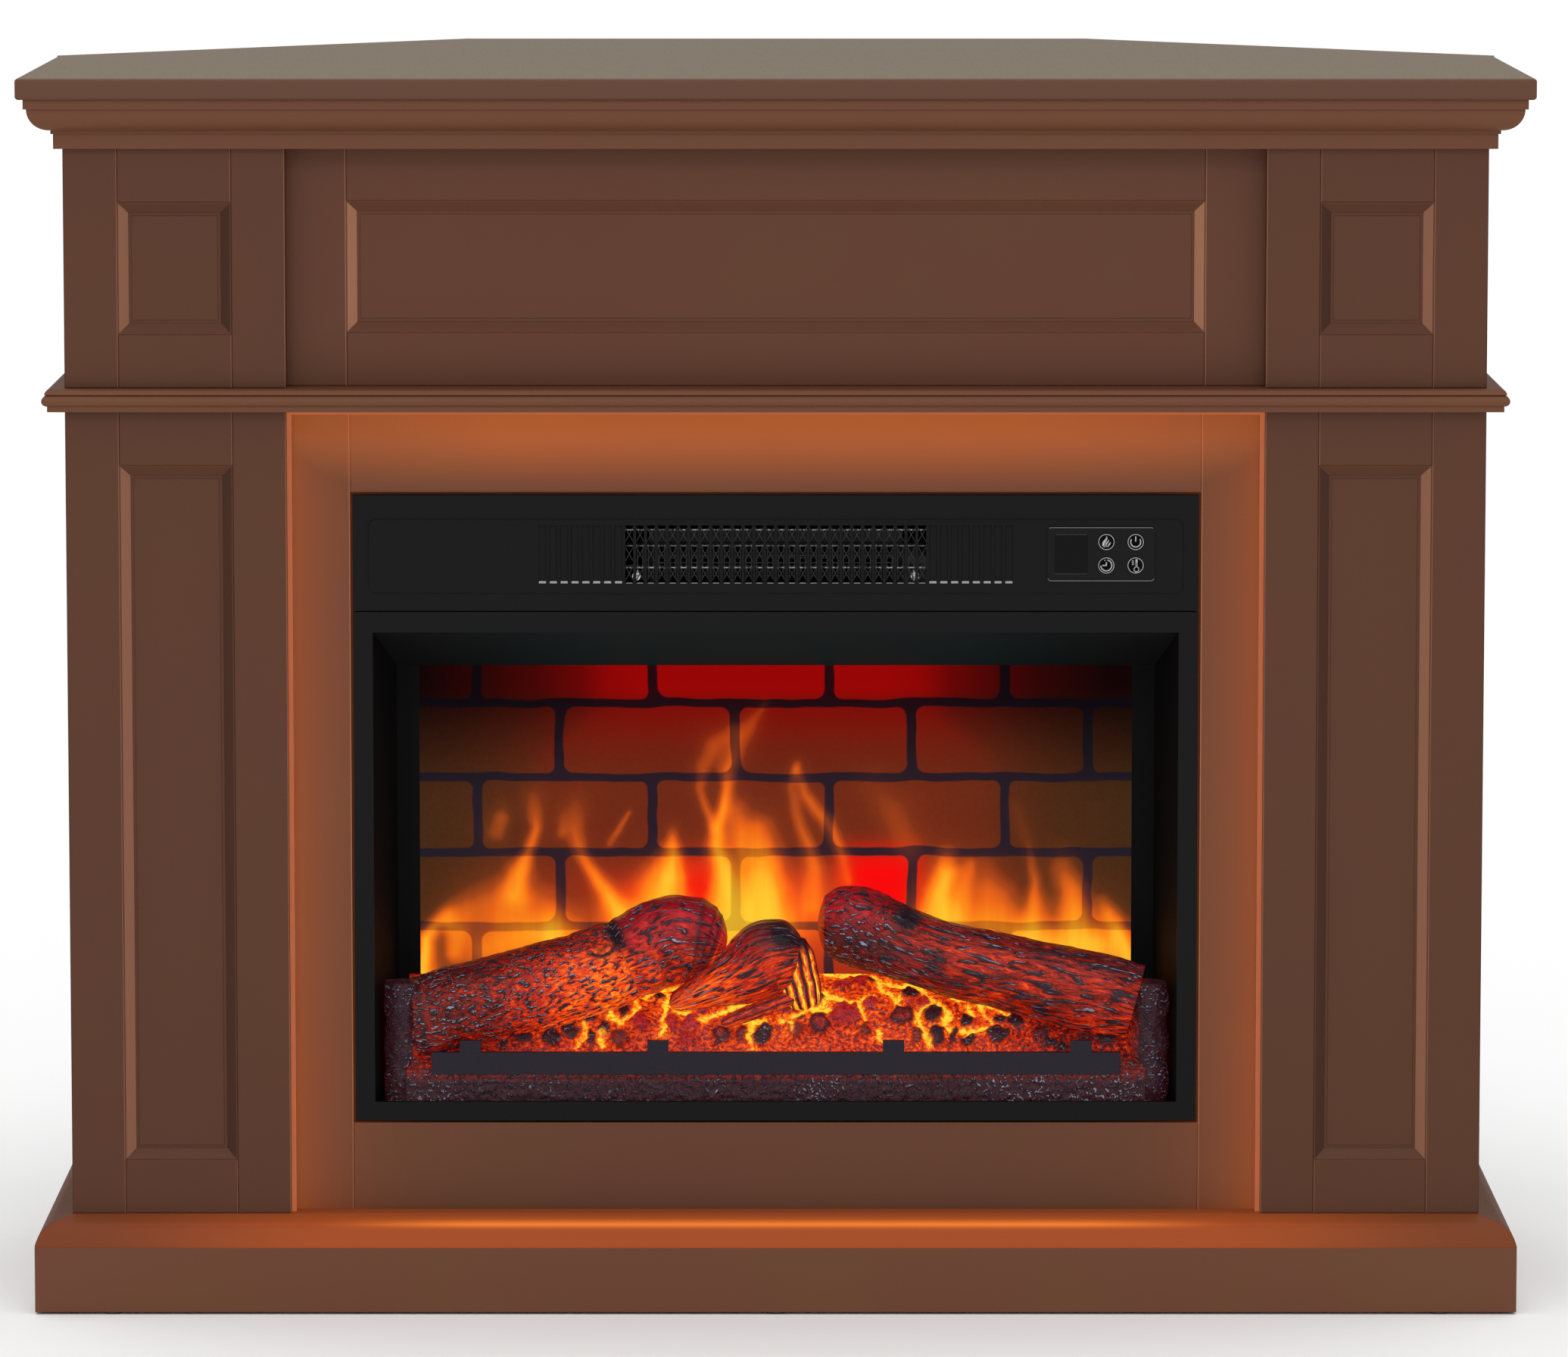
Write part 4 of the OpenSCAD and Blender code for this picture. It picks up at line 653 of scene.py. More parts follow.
def build_screen():
    """The plate with the bricks and the fire: a fine grid in front, with each place's light on it."""
    low, high = box_mm("flame_screen")
    x, z = np.meshgrid(np.linspace(low[0], high[0], 307), np.linspace(low[2], high[2], 181), indexing="ij")
    # Flames: sharp tongues, a haze round them, and a broken glow over the tops of the logs.
    bend = 9 * grit(x / 34, z / 60, 21, 3)
    lift = 6 * grit(x / 40, z / 50, 22)
    dark, haze = np.ones_like(x), np.ones_like(x)
    for path in FLAMES:
        dark = dark * (1 - np.clip(tongue(x + bend, z + lift, path, 1.45), 0, 1) * 0.90)
        haze = haze * (1 - np.clip(tongue(x + bend, z + lift, path, 3.0), 0, 1) * 0.17)
    crest = np.interp(x[:, 0], [-307, -240, -150, -60, 0, 40, 110, 200, 307],
                      [262, 282, 306, 330, 318, 330, 320, 296, 272])[:, None]
    base = bell(z, crest - 14, 30) * (0.05 + 0.36 * noise(x / 34, z / 60, 31))
    streak = 0.8 + 0.4 * noise(x / 8, z / 70, 33)
    middle = bell(x, -5, 190) * step(400, 325, z) * 0.13
    flame = 1 - dark * haze * (1 - np.clip(base * streak, 0, 1)) * (1 - middle)
    flame = np.clip(flame * (0.95 + 0.1 * noise(x / 5, z / 40, 35)), 0, 1)
    # Red light: on the upper courses and low down in the middle, and strongest beside the flames.
    fall = np.interp(np.abs(x + 9) - 55 * (1 - step(440, 505, z)), [0, 100, 133, 158, 196, 234, 290],
                     [1, 1, 0.85, 0.42, 0.18, 0.07, 0])
    red = fall * (0.35 * step(300, 380, z) + 0.28 * step(440, 500, z) + 0.38 * step(498, 515, z))
    red = red + 1.3 * bell(x, -20, 150) * step(378, 335, z)
    # Firelight painted on the bricks: lighter low down near the fire, darker upwards and in the upper
    # corners.
    warmth = 1 - 0.97 * step(425, 520, z) ** 0.8
    warmth = warmth * (1 - 0.35 * step(400, 470, z) * step(180, 300, np.abs(x + 9)))
    blaze = np.exp(-np.abs((x - 90) / 36) ** 4 - np.abs((z - 342) / 34) ** 4)
    blaze = blaze * step(26, 62, x + 0.3 * (z - 342))
    for cx, cz, w, h, share in ((-66, 330, 27, 36, 0.85), (-118, 318, 17, 24, 0.55)):
        blaze = most(blaze, share * np.exp(-np.abs((x - cx) / w) ** 3 - np.abs((z - cz) / h) ** 3))
    fields = {"brick": bricks(x, z), "fire": flame, "red": red, "warmth": warmth, "blaze": blaze}
    front, back = place(x, low[1], z), place(x, high[1], z)
    rows, cols = x.shape
    ring = np.concatenate([np.arange(cols), np.arange(1, rows) * cols + cols - 1,
                           (rows - 1) * cols + np.arange(cols - 2, -1, -1),
                           np.arange(rows - 2, 0, -1) * cols])
    points = np.concatenate([front.reshape(-1, 3), back.reshape(-1, 3)[ring]])
    first = rows * cols
    k = np.arange(len(ring))
    after = (k + 1) % len(ring)
    sides = np.stack([ring[k], first + k, first + after, ring[after]], -1).tolist()
    fields = {key: np.concatenate([v.ravel(), v.ravel()[ring]]) for key, v in fields.items()}
    piece("lit_flame_screen", points, quads(rows, cols) + sides + [(first + k).tolist()], "flame_glass",
          replaces="flame_screen", smooth=False, fields=fields)


build_screen()


# ---------------------------------------------------------------- logs

def along_axis(points, count):
    """Evenly spaced places, directions and thicknesses on a smooth line through points."""
    p = np.array(points, float)
    run = np.concatenate([[0], np.cumsum(np.linalg.norm(np.diff(p[:, :3], axis=0), axis=1))])
    s = np.linspace(0, run[-1], count)
    q = np.stack([np.interp(s, run, p[:, i]) for i in range(4)], -1)
    for _ in range(int(count / 14)):
        q[1:-1] = (q[:-2] + 2 * q[1:-1] + q[2:]) / 4
    t = np.gradient(q[:, :3], axis=0)
    return q, t / np.linalg.norm(t, axis=1)[:, None], s


def build_log(name, radius, bark, axis, grid=1.3, cap=9):
    """A log as one closed skin round an axis: rings across one end, along, and across the other.

    bark(S, A, G, kind, length, radius) gives the height of the bark, a shift along the log and the
    fields of LOOKS. S is millimetres along the log, A the angle round it (0 at the top, half pi in
    front), G the share of the full thickness, which falls to 0 over the ends, and kind -1, 0 or 1
    on the first end, the side and the last end.
    """
    p = np.array([(x, INSERT + y, TRAY + z, k) for x, y, z, k in axis])
    length = np.sum(np.linalg.norm(np.diff(p[:, :3], axis=0), axis=1))
    count, around = int(length / grid), int(2 * math.pi * radius / grid)
    q, t, s = along_axis(p, count)
    first = np.array([1.0, 0, 0] if abs(t[:, 2].mean()) > 0.7 else [0, 0, 1.0])
    up = first - t * (t @ first)[:, None]
    up /= np.linalg.norm(up, axis=1)[:, None]
    front = np.cross(t, up)
    front *= np.sign(-front[:, 1:2])
    angle = np.linspace(-math.pi, math.pi, around, endpoint=False)
    share = np.linspace(0.04, 1, cap) ** 0.8
    spot = np.concatenate([np.zeros(cap), np.arange(1, count - 1), np.full(cap, count - 1)]).astype(int)
    grow = np.concatenate([share, np.ones(count - 2), share[::-1]])
    S, A = np.meshgrid(s[spot], angle, indexing="ij")
    G = np.broadcast_to(grow[:, None], S.shape)
    kind = np.concatenate([np.full(cap, -1), np.zeros(count - 2), np.full(cap, 1)])[:, None] + 0 * S
    rise, slide, *looks = bark(S, A, G, kind, length, radius)
    R = (q[spot, 3] * radius)[:, None] * G + rise * (1 - np.abs(kind) * (1 - G ** 4))
    P = (q[spot, :3][:, None] + R[..., None] * (np.cos(A)[..., None] * up[spot][:, None]
         + np.sin(A)[..., None] * front[spot][:, None]) + slide[..., None] * t[spot][:, None])
    piece(name, place(P[..., 0], P[..., 1], P[..., 2]), tube(*S.shape), "log_resin", replaces="log_set",
          fields={key: np.clip(v, -99, 999) + 0 * S for key, v in zip(LOOKS, looks)})


def behind(side, top, start=0.2):
    """Painted shade: the dark share of a log's back, below its top."""
    return 0.8 * step(start, start - 0.6, side) * (1 - step(0.2, 0.6, top))


def bark_left(S, A, G, kind, length, r):
    """Short ridges, a knob at the right end with a dark neck and a knot before it, growth rings."""
    arc, side, top = A * r, np.sin(A), np.cos(A)
    knob = step(178, 200, S)
    kx, ky = (S - 170) / 15, (arc - r * 0.80) / 14
    knot = np.hypot(kx, ky)
    ring, rim = bell(knot, 0.85, 0.15) * step(-0.5, 0.2, kx + ky + 0.4), bell(knot, 0.42, 0.12)
    lower = step(-0.1, 0.9, side * 0.8 - 0.55 * top)
    seam = np.clip(bell(S, length - 15, 1.6) + bell(S, length - 7, 1.4) + bell(S, length - 1, 1.5), 0, 1)
    glow = (0.28 + 0.18 * bell(S, 145, 65) + 0.17 * lower * bell(S, 170, 55) - 0.16 * lower * step(105, 40, S)
            + 0.14 * grit(S / 17, arc / 12, 55) - 0.16 * step(0.35, 0.95, top) - 0.06 * knob
            + 0.12 * bell(knot, 0.63, 0.12) + 0.1 * bell(knot, 0.15, 0.2)
            + 0.10 * bell(S, 12, 2.0) * step(-0.1, 0.4, side))
    dark = most(np.clip(1.3 * bell(S, 186, 10) * step(0.2, 0.75, top), 0, 1),
                np.clip(ring * 1.2 + 0.7 * rim, 0, 1), behind(side, top), 0.5 * step(0.72, 1.0, top),
                0.8 * bell(S, 7, 2.4), 0.75 * seam * step(-0.2, 0.3, side))
    crimson = knob * step(-0.1, 0.9, top + 0.35 * side) * (0.85 + 0.3 * grit(S / 10, arc / 8, 58, 1))
    rise = (3.2 * grit(S / 34, A * 1.3, 59) + 2.0 * ring + 1.0 * rim - 2.6 * bell(S, 186, 6)
            + 1.2 * seam + 1.6 * grit(S / 9, arc / 6, 60) - 1.5 * bell(knot, 0.62, 0.1))
    capped = np.abs(kind) * (G < 0.985)
    rings = 0.5 + 0.5 * np.sin(G * 26)
    glow = np.where(capped > 0, 0.30 + 0.22 * rings, glow)
    dark = np.where(capped > 0, 0.4 * (1 - rings), dark)
    slide = np.where(kind > 0, (1 - G ** 2) * 11, np.where(kind < 0, (1 - G) * -0.8, 0))
    ridge = 1 - 0.8 * capped - 0.6 * np.clip(ring + rim, 0, 1) * (1 - capped)
    along = np.where(S < 186, S / 10.0, 186 / 10.0 + (S - 186) / 16)
    return rise, slide, glow, dark, np.clip(crimson, 0, 1), ridge, along, arc / np.where(S < 186, 5.0, 6.5)


def bark_right(S, A, G, kind, length, r):
    """Long ridges, a red head at the left end with a dark neck and a small knot, lines on the end."""
    arc, side, top = A * r, np.sin(A), np.cos(A)
    head = 1 - step(30, 70, S)
    knot = np.hypot((S - 72) / 8, (arc - r * 0.95) / 6.5)
    ring, core = bell(knot, 0.85, 0.16), bell(knot, 0, 0.45)
    under = step(-0.05, 0.75, 0.75 * side - 0.75 * top - 0.15)
    glow = (0.33 - 0.07 * head + 0.12 * bell(S, 130, 80) * step(-0.1, 0.8, side)
            + 0.14 * grit(S / 26, arc / 9, 85) - 0.14 * step(0.3, 0.95, top)
            - 0.20 * under * step(300, 120, S) + 0.12 * bell(knot, 0.5, 0.2))
    dark = most(np.clip(1.3 * bell(S, 66, 14) * step(0.25, 0.7, top), 0, 1),
                0.55 * step(0.35, 0.9, top) * step(85, 110, S), behind(side, top),
                0.5 * under * bell(S, 60, 45), 0.7 * ring)
    crimson = 0.75 * head * step(-0.1, 0.7, top + 0.3 * side) + 0.3 * step(0.2, 0.8, top) * bell(S, 100, 40)
    rise = 3.2 * grit(S / 40, A * 1.2, 89) + 1.5 * grit(S / 14, arc / 5, 90) + 1.6 * ring + 1.2 * core
    capped = np.abs(kind) * (G < 0.985)
    lines = bell(G, 0.42, 0.05) + bell(G, 0.66, 0.05) + bell(G, 0.88, 0.04)
    glow = np.where(capped > 0, np.where(kind > 0, 0.30 + 0.45 * lines, 0.34), glow)
    dark = np.where(capped > 0, np.where(kind > 0, 0.75 * (1 - lines), 0.3), dark)
    slide = np.where(kind < 0, (1 - G ** 2) * -6, np.where(kind > 0, (1 - G) * 0.8, 0))
    ridge = 1 - 0.7 * capped - 0.6 * np.clip(ring + core, 0, 1) * (1 - capped)
    along = np.where(S < 60, S / 12, 60 / 12 + (S - 60) / 30)
    return rise, slide, glow, dark, np.clip(crimson, 0, 1), ridge, along, arc / 6.4 + 0.05 * along


def bark_middle(S, A, G, kind, length, r):
    """Long grain that glows more towards the thin end, its top end charred."""
    arc, side, top = A * r, np.sin(A), np.cos(A)
    glow = (0.38 + 0.18 * step(0.0, 0.9, side) * step(35, 80, S) - 0.16 * step(0.4, 0.95, top)
            + 0.16 * grit(S / 18, arc / 8, 104)
            + 0.25 * bell(S, 52, 60) * bell(A, -0.1, 0.35) * step(20, 40, S))
    dark = most(np.clip(1.35 * bell(S, 8, 20) * step(0.0, 0.6, top), 0, 1), behind(side, top, 0.1))
    crimson = 0.55 * bell(S, 38, 20) * step(0.1, 0.8, top)
    rise = 2.6 * grit(S / 30, A * 1.3, 109) + 1.4 * grit(S / 16, arc / 4, 110)
    return rise, kind * (1 - G ** 2) * 7, glow, dark, crimson, 1.0, S / 26, arc / 5.2


def bark_fork(S, A, G, kind, length, r):
    """Deep grooves that glow yellow between dark ribs, running down the front."""
    rib = 0.5 + 0.5 * np.cos((A + 0.10 * grit(S / 14, 0, 115) - 1.32) * 2 * math.pi / 0.52)
    fade = step(2, 16, S)
    glow = 0.42 + 0.50 * (1 - rib) ** 1.5 * fade + 0.08 * step(20, 50, S)
    # The fork's back is made dark: painted shade.
    dark = most(np.clip(step(0.62, 0.85, rib) * 0.95 * fade + (1 - step(4, 20, S)), 0, 1),
                0.7 * step(0.3, -0.2, np.sin(A)))
    rise = 1.7 * (rib - 0.5) * fade + 1.2 * grit(S / 18, A * 1.3, 119)
    return rise, kind * (1 - G ** 2) * 5, glow, dark, 0.0, 0.35, S / 9, A * r / 4


def bark_stick(S, A, G, kind, length, r):
    """Seven ribs along a thin stick."""
    rib = 0.5 + 0.5 * np.cos(A * 7 + 1.2 * noise(S / 12, 0, 125))
    glow = 0.40 + 0.12 * (1 - rib) - 0.08 * np.cos(A)
    dark = step(0.6, 0.9, rib) * 0.8
    return 0.7 * (rib - 0.5), kind * (1 - G ** 2) * 3, glow, dark, 0.25, 0.5, S / 12, A * r / 3


# Points along each log: place across, depth behind the insert, height above the tray, thickness.
build_log("log_left", 36, bark_left, [
    (-307, 43, 69, 0.98), (-296, 43, 70, 1.0), (-280, 44, 75, 1.0), (-245, 46, 84, 1.0), (-205, 50, 93, 1.02),
    (-165, 54, 104, 1.0), (-130, 58, 116, 1.02), (-104, 60, 129, 1.07), (-84, 60, 136, 1.06),
    (-68, 60, 136, 0.97), (-58, 60, 133, 0.80), (-53, 60, 131, 0.64)])
build_log("log_right", 34, bark_right, [
    (42, 60, 147, 0.70), (52, 60, 147, 0.93), (70, 60, 146, 1.03), (92, 58, 138, 0.95), (120, 55, 127, 0.90),
    (150, 52, 118, 0.90), (187, 49, 110, 0.93), (225, 46, 101, 0.97), (260, 43, 94, 1.0), (288, 41, 89, 0.99),
    (306, 40, 84, 0.92)])
build_log("log_middle", 33, bark_middle, [
    (18, 61, 122, 0.62), (10, 60, 122, 0.92), (-8, 58, 119, 1.0), (-25, 57, 108, 0.88), (-48, 57, 97, 0.62),
    (-70, 56, 87, 0.42), (-84, 54, 81, 0.28)], 1.2)
build_log("log_fork", 17.5, bark_fork, [
    (12, 60, 132, 0.8), (14, 57, 122, 1.0), (18, 54, 107, 1.0), (22, 53, 93, 0.95), (25, 55, 80, 0.8)], 0.8)
build_log("log_stick", 6.4, bark_stick, [
    (-44, 36, 66, 0.7), (-30, 39, 71, 1.0), (-10, 42, 78, 1.05), (8, 45, 84, 1.0), (20, 48, 88, 0.8)], 0.7, 6)


# ---------------------------------------------------------------- ember bed

# Lumps of coal on the bed: place across, way up the bed, half width, half height and look
# (d dark, r dark ring round a red heart, b brown, c crimson).
COALS = [
    (-159, 85, 6.1, 8.4, "d"), (-174, 69, 8.1, 10.8, "d"), (-157, 63, 5.7, 8.9, "d"),
    (-192, 63, 9.7, 9.3, "d"), (-215, 63, 8.1, 7.4, "d"), (-231, 57, 4.0, 6.5, "d"),
    (-134, 63, 9.7, 9.3, "b"), (-146, 73, 4.5, 7.4, "d"), (-115, 79, 7.3, 11.1, "c"),
    (-99, 106, 5.7, 6.5, "d"), (-130, 91, 4.8, 7.8, "d"), (-88, 77, 4.8, 8.4, "c"), (-65, 95, 8.9, 9.3, "c"),
    (-72, 77, 8.9, 9.3, "c"), (-74, 61, 8.1, 7.4, "c"), (-47, 65, 8.9, 9.3, "r"), (-11, 65, 9.7, 11.5, "d"),
    (-29, 65, 5.7, 9.3, "b"), (-238, 67, 8.1, 7.4, "d"), (-242, 79, 9.7, 5.6, "d"), (-220, 85, 8.1, 7.4, "d"),
    (9, 95, 8.1, 8.4, "b"), (36, 105, 5.8, 7.1, "d"), (37, 76, 9.4, 12.1, "r"), (55, 122, 8.1, 7.4, "c"),
    (73, 127, 9.7, 9.3, "c"), (84, 130, 4.8, 6.5, "d"), (58, 85, 13.7, 13.0, "c"), (81, 98, 8.1, 7.4, "c"),
    (76, 69, 8.1, 8.4, "b"), (114, 109, 7.3, 9.3, "d"), (126, 98, 6.1, 7.4, "c"), (107, 84, 11.3, 11.1, "r"),
    (135, 85, 10.5, 11.1, "d"), (161, 79, 5.3, 9.3, "d"), (137, 63, 6.5, 11.1, "d"), (120, 65, 7.7, 9.3, "b"),
    (151, 63, 4.8, 9.7, "d"), (164, 59, 8.1, 7.8, "d"), (188, 65, 12.9, 9.3, "d"), (204, 79, 8.9, 8.4, "d"),
    (191, 82, 6.1, 4.5, "d"), (227, 67, 8.9, 10.2, "b"), (234, 57, 6.5, 5.6, "d"), (15, 71, 8.1, 7.4, "b"),
    (20, 84, 5.7, 4.6, "d"), (243, 54, 6.5, 5.6, "d"), (262, 60, 9.0, 9.0, "b"), (282, 62, 9.0, 8.0, "d"),
    (-262, 62, 10.0, 8.0, "b"), (-284, 58, 8.0, 8.0, "d"), (-300, 64, 7.0, 9.0, "d")]
COAL_LOOKS = {"d": (0.97, 0.05), "r": (0.93, 0.55), "b": (0.72, 0.25), "c": (0.25, 1.0)}  # dark, crimson
# Bright cracks on the bed: places across and up.
VEINS = [
    [(-182, 77), (-176, 87), (-166, 95), (-155, 98), (-143, 104)],
    [(-141, 98), (-141, 85), (-133, 79), (-123, 85), (-117, 97), (-125, 106), (-135, 106), (-141, 98)],
    [(-112, 104), (-104, 115), (-94, 116), (-90, 106), (-93, 95), (-95, 81), (-97, 66)],
    [(-90, 116), (-79, 121), (-67, 135), (-56, 141)], [(-64, 79), (-51, 87), (-34, 95), (-14, 100), (4, 109)],
    [(-41, 79), (-21, 79), (-11, 80)], [(-21, 77), (-22, 65), (-18, 52)],
    [(-163, 77), (-163, 65), (-170, 54)], [(-149, 69), (-147, 54)], [(-204, 97), (-200, 77)],
    [(-85, 91), (-75, 88)], [(-90, 95), (-84, 91)], [(28, 124), (28, 106), (28, 91), (23, 87), (15, 84)],
    [(28, 106), (33, 117), (41, 115), (44, 105), (41, 95), (33, 93), (28, 97)], [(28, 91), (45, 91)],
    [(48, 106), (66, 100), (70, 98), (80, 109)], [(70, 98), (74, 87), (76, 81)],
    [(43, 141), (58, 138), (80, 138), (90, 127), (93, 115), (103, 98)],
    [(93, 127), (106, 121), (119, 124), (132, 106), (142, 93), (149, 85), (143, 75)],
    [(119, 85), (126, 91), (134, 97), (131, 101)], [(119, 85), (122, 77), (129, 65), (133, 54)],
    [(102, 97), (106, 106)], [(145, 73), (148, 67)],
    [(152, 104), (162, 101), (178, 98), (188, 93), (198, 85)], [(175, 97), (178, 85), (185, 77)],
    [(165, 93), (168, 85)], [(157, 69), (170, 69), (176, 71)], [(89, 69), (91, 59)],
    [(4, 79), (12, 79), (13, 69)]]


def build_bed():
    """The bed of coals, one closed sweep: bark strip below the bar, coals above it, plain back."""
    profile = np.array([[8.5, 0], [8.5, 24], [13, 29], [26, 42], [60, 80], [97, 98]], float)
    run = np.concatenate([[0], np.cumsum(np.linalg.norm(np.diff(profile, axis=0), axis=1))])
    s = np.linspace(0, run[-1], int(run[-1] / 1.4))
    q = np.stack([np.interp(s, run, profile[:, i]) for i in (0, 1)], -1)
    t = np.gradient(q, axis=0)
    t /= np.linalg.norm(t, axis=1)[:, None]
    xs = np.linspace(-314.0, 314.0, 449)
    X, S = np.meshgrid(xs, s, indexing="ij")
    coal = step(27, 33, S)
    wx, ws = (v + 9 * grit(X / 9, S / 9, seed, 3) for v, seed in ((X, 201), (S, 202)))
    dome, dark, crimson, heart = (np.zeros_like(X) for _ in range(4))
    for x, z, rx, rz, look in COALS:
        d = np.hypot((wx - x) / rx, (ws - z) / rz)
        body = 1 - step(0.72, 1.08, d)
        dome = np.maximum(dome, np.sqrt(np.clip(1 - (d / 1.12) ** 2, 0, 1)) * min(rx, rz) * 0.62)
        dark, crimson = (np.maximum(v, body * share) for v, share in zip((dark, crimson), COAL_LOOKS[look]))
        if look == "r":
            heart = np.maximum(heart, bell(d, 0.25, 0.22))
    away = np.full_like(X, 99.0)
    for path in VEINS:
        for *_, off in segments(wx * 0.75 + X * 0.25, ws * 0.75 + S * 0.25, path):
            away = np.minimum(away, off)
    vein, halo = bell(away, 0, 2.3), bell(away, 0, 7.0)
    glow = (0.47 - 0.20 * step(175, 255, np.abs(X - 5)) + 0.05 * bell(X, 20, 110) - 0.10 * step(48, 40, S)
            + 0.20 * grit(X / 16, S / 14, 211) + 0.14 * halo + 0.40 * vein - 0.12 * crimson)
    crimson = np.clip(most(crimson, 0.5 * bell(X, -75, 35) * step(95, 60, S)) * (1 - vein), 0, 1) * coal
    above = coal > 0.5
    glow = np.where(above, glow, 0.16 + 0.16 * step(14, 26, S))
    dark = np.where(above, dark * (1 - 0.6 * heart) * (1 - 0.9 * vein), 0.90 - 0.25 * step(16, 27, S))
    ridge = np.where(above, 0.55 * (1 - vein) * (1 - halo * 0.5), 1.0)
    bumpy = (coal * (dome + 1.6 * grit(X / 6, S / 6, 218) - 1.2 * vein)
             + (1 - coal) * 2.2 * grit(X / 5.5, S / 4, 217))
    bumpy = bumpy * step(run[-1], run[-1] - 6, S) * step(0, 3, S)
    D, Z = q[:, 0] - t[:, 1] * bumpy, q[:, 1] + t[:, 0] * bumpy
    bar = (S > 20) & (S < 33) & (np.abs(X) < 294)
    D = np.where(bar, np.maximum(D, 11.5), D)
    points = np.concatenate([place(X, INSERT + np.maximum(D, 6.6), TRAY + 1 + np.maximum(Z, 0)),
                             place(xs[:, None], INSERT + np.array([[97.0, 50.0]]), TRAY + 1)], 1)
    looks = (glow, dark, crimson, ridge, X / np.where(above, 5.6, 5.0), -S / np.where(above, 5.0, 6.5))
    piece("ember_coals", points, tube(*points.shape[:2]), "glowing_embers", replaces="ember_bed",
          fields={key: np.concatenate([v, np.repeat(v[:, -1:], 2, 1)], 1) for key, v in zip(LOOKS, looks)})


def build_stump(name, side, seed, big):
    """A short bark-covered stump at one end of the bed, with a lobed foot."""
    heights = np.concatenate([np.linspace(0, 102, 84), np.full(8, 102)])
    grow = np.concatenate([np.ones(84), np.linspace(0.93, 0.05, 8)])
    H, A = np.meshgrid(heights, np.linspace(-math.pi, math.pi, 72, endpoint=False), indexing="ij")
    G = np.broadcast_to(grow[:, None], H.shape)
    lobes = big * (3.2 * bell(H, 18, 11) + 3.0 * bell(H, 50, 11) + 2.4 * bell(H, 84, 9))
    r = (14.8 + lobes + 2.0 * grit(H / 7, A * 2.4, seed)) * G
    out, back = np.cos(A + math.pi / 2), np.sin(A + math.pi / 2)
    depth = INSERT + 30 - 0.02 * H - r * back
    # The side walls of the fire chamber draw in towards the back.
    wall = 335.2 - 0.13 * (depth - 84)
    x = np.clip(side * 317 + r * out, -wall, wall)
    points = place(x, np.maximum(depth, INSERT + 7.5), TRAY + 1 + H + (1 - G) * 3)
    glow = 0.20 + 0.22 * step(95, 50, H) * step(0.2, 0.9, -side * out)
    looks = (glow, 0.93 - 0.3 * (glow > 0.3), 0 * H, 1 + 0 * H, A * 15 / 6.0, -H / 5.5)
    piece(name, points, tube(*H.shape), "glowing_embers", replaces="ember_bed",
          fields=dict(zip(LOOKS, looks)))


build_bed()
build_stump("stump_left", -1, 331, 0.45)
build_stump("stump_right", 1, 301, 1.0)
soft = NODES["grate"].modifiers.new("soft_corners", "BEVEL")
soft.width, soft.segments, soft.limit_method, soft.angle_limit = 0.0014, 3, "ANGLE", 0.6


# ---------------------------------------------------------------- control panel and grille trim

def bars(paths, width, depths):
    """Flat bars that follow lines in the upright plane, between two depths.

    A line's points may hold a width of their own as a third value."""
    points, faces = [], []
    for path in paths:
        p = np.array(path, float)
        wide = p[:, 2:] if p.shape[1] > 2 else width
        p = p[:, :2]
        loop = np.allclose(p[0], p[-1])
        if loop:
            p = p[:-1]
            t = np.roll(p, -1, 0) - np.roll(p, 1, 0)
        else:
            t = np.gradient(p, axis=0)
        t /= np.linalg.norm(t, axis=1)[:, None]
        off = np.stack([-t[:, 1], t[:, 0]], -1) * wide / 2
        a, b = p + off, p - off
        chamfer = off * 0.35
        rim = [(a, depths[1]), (a, depths[0] + 0.04), (a - chamfer, depths[0]), (b + chamfer, depths[0]),
               (b, depths[0] + 0.04), (b, depths[1])]
        start, count, k = len(points), len(p), len(rim)
        for i in range(count):
            points += [place(side[i, 0], d, side[i, 1]) for side, d in rim]
        if loop:
            last = start + (count - 1) * k
            faces += quads(count, k, True, start)
            faces += [[last + m, last + (m + 1) % k, start + (m + 1) % k, start + m] for m in range(k)]
        else:
            faces += tube(count, k, start)
    return np.array(points), faces


def arc(cx, cz, r, a0=0.0, a1=360.0, steps=40):
    """Points on a circle, from one angle in degrees to another."""
    angles = np.radians(np.linspace(a0, a1, steps + 1))
    return list(zip(cx + r * np.cos(angles), cz + r * np.sin(angles)))


def curve(points, steps=7):
    """A smooth line through points."""
    p = np.array([points[0]] + list(points) + [points[-1]], float)
    out = []
    for a, b, c, d in zip(p, p[1:], p[2:], p[3:]):
        for t in np.linspace(0, 1, steps, endpoint=False):
            out.append(0.5 * (2 * b + (c - a) * t + (2 * a - 5 * b + 4 * c - d) * t * t
                              + (3 * b - a - 3 * c + d) * t ** 3))
    return out + [p[-2]]


def printed(name, base, rough, spec, metal=0.0):
    """Thin ink or paint in a light line; on the slot lips, a painted highlight."""
    n = Net(name)
    fine = n.noise(2500.0)
    tone = n.mix(fine, tinted(base, 0.85), base)
    return n.surface(tone, rough, n.bump(fine, 0.00003, 0.4), Specular_IOR_Level=spec, Metallic=metal)


SILVER = printed("silver_line", (0.13, 0.13, 0.13), 0.35, 0.5, 0.3)
WHITE = printed("symbol_print", (0.42, 0.42, 0.42), 0.5, 0.3)
FAINT = printed("window_edge", (0.035, 0.035, 0.037), 0.4, 0.4)
# Painted highlight: the slot lips' pale grey stands in for light caught on their lower edges.
LIP_HIGHLIGHT = printed("slot_lip_paint", (0.30, 0.30, 0.31), 0.4, 0.5)


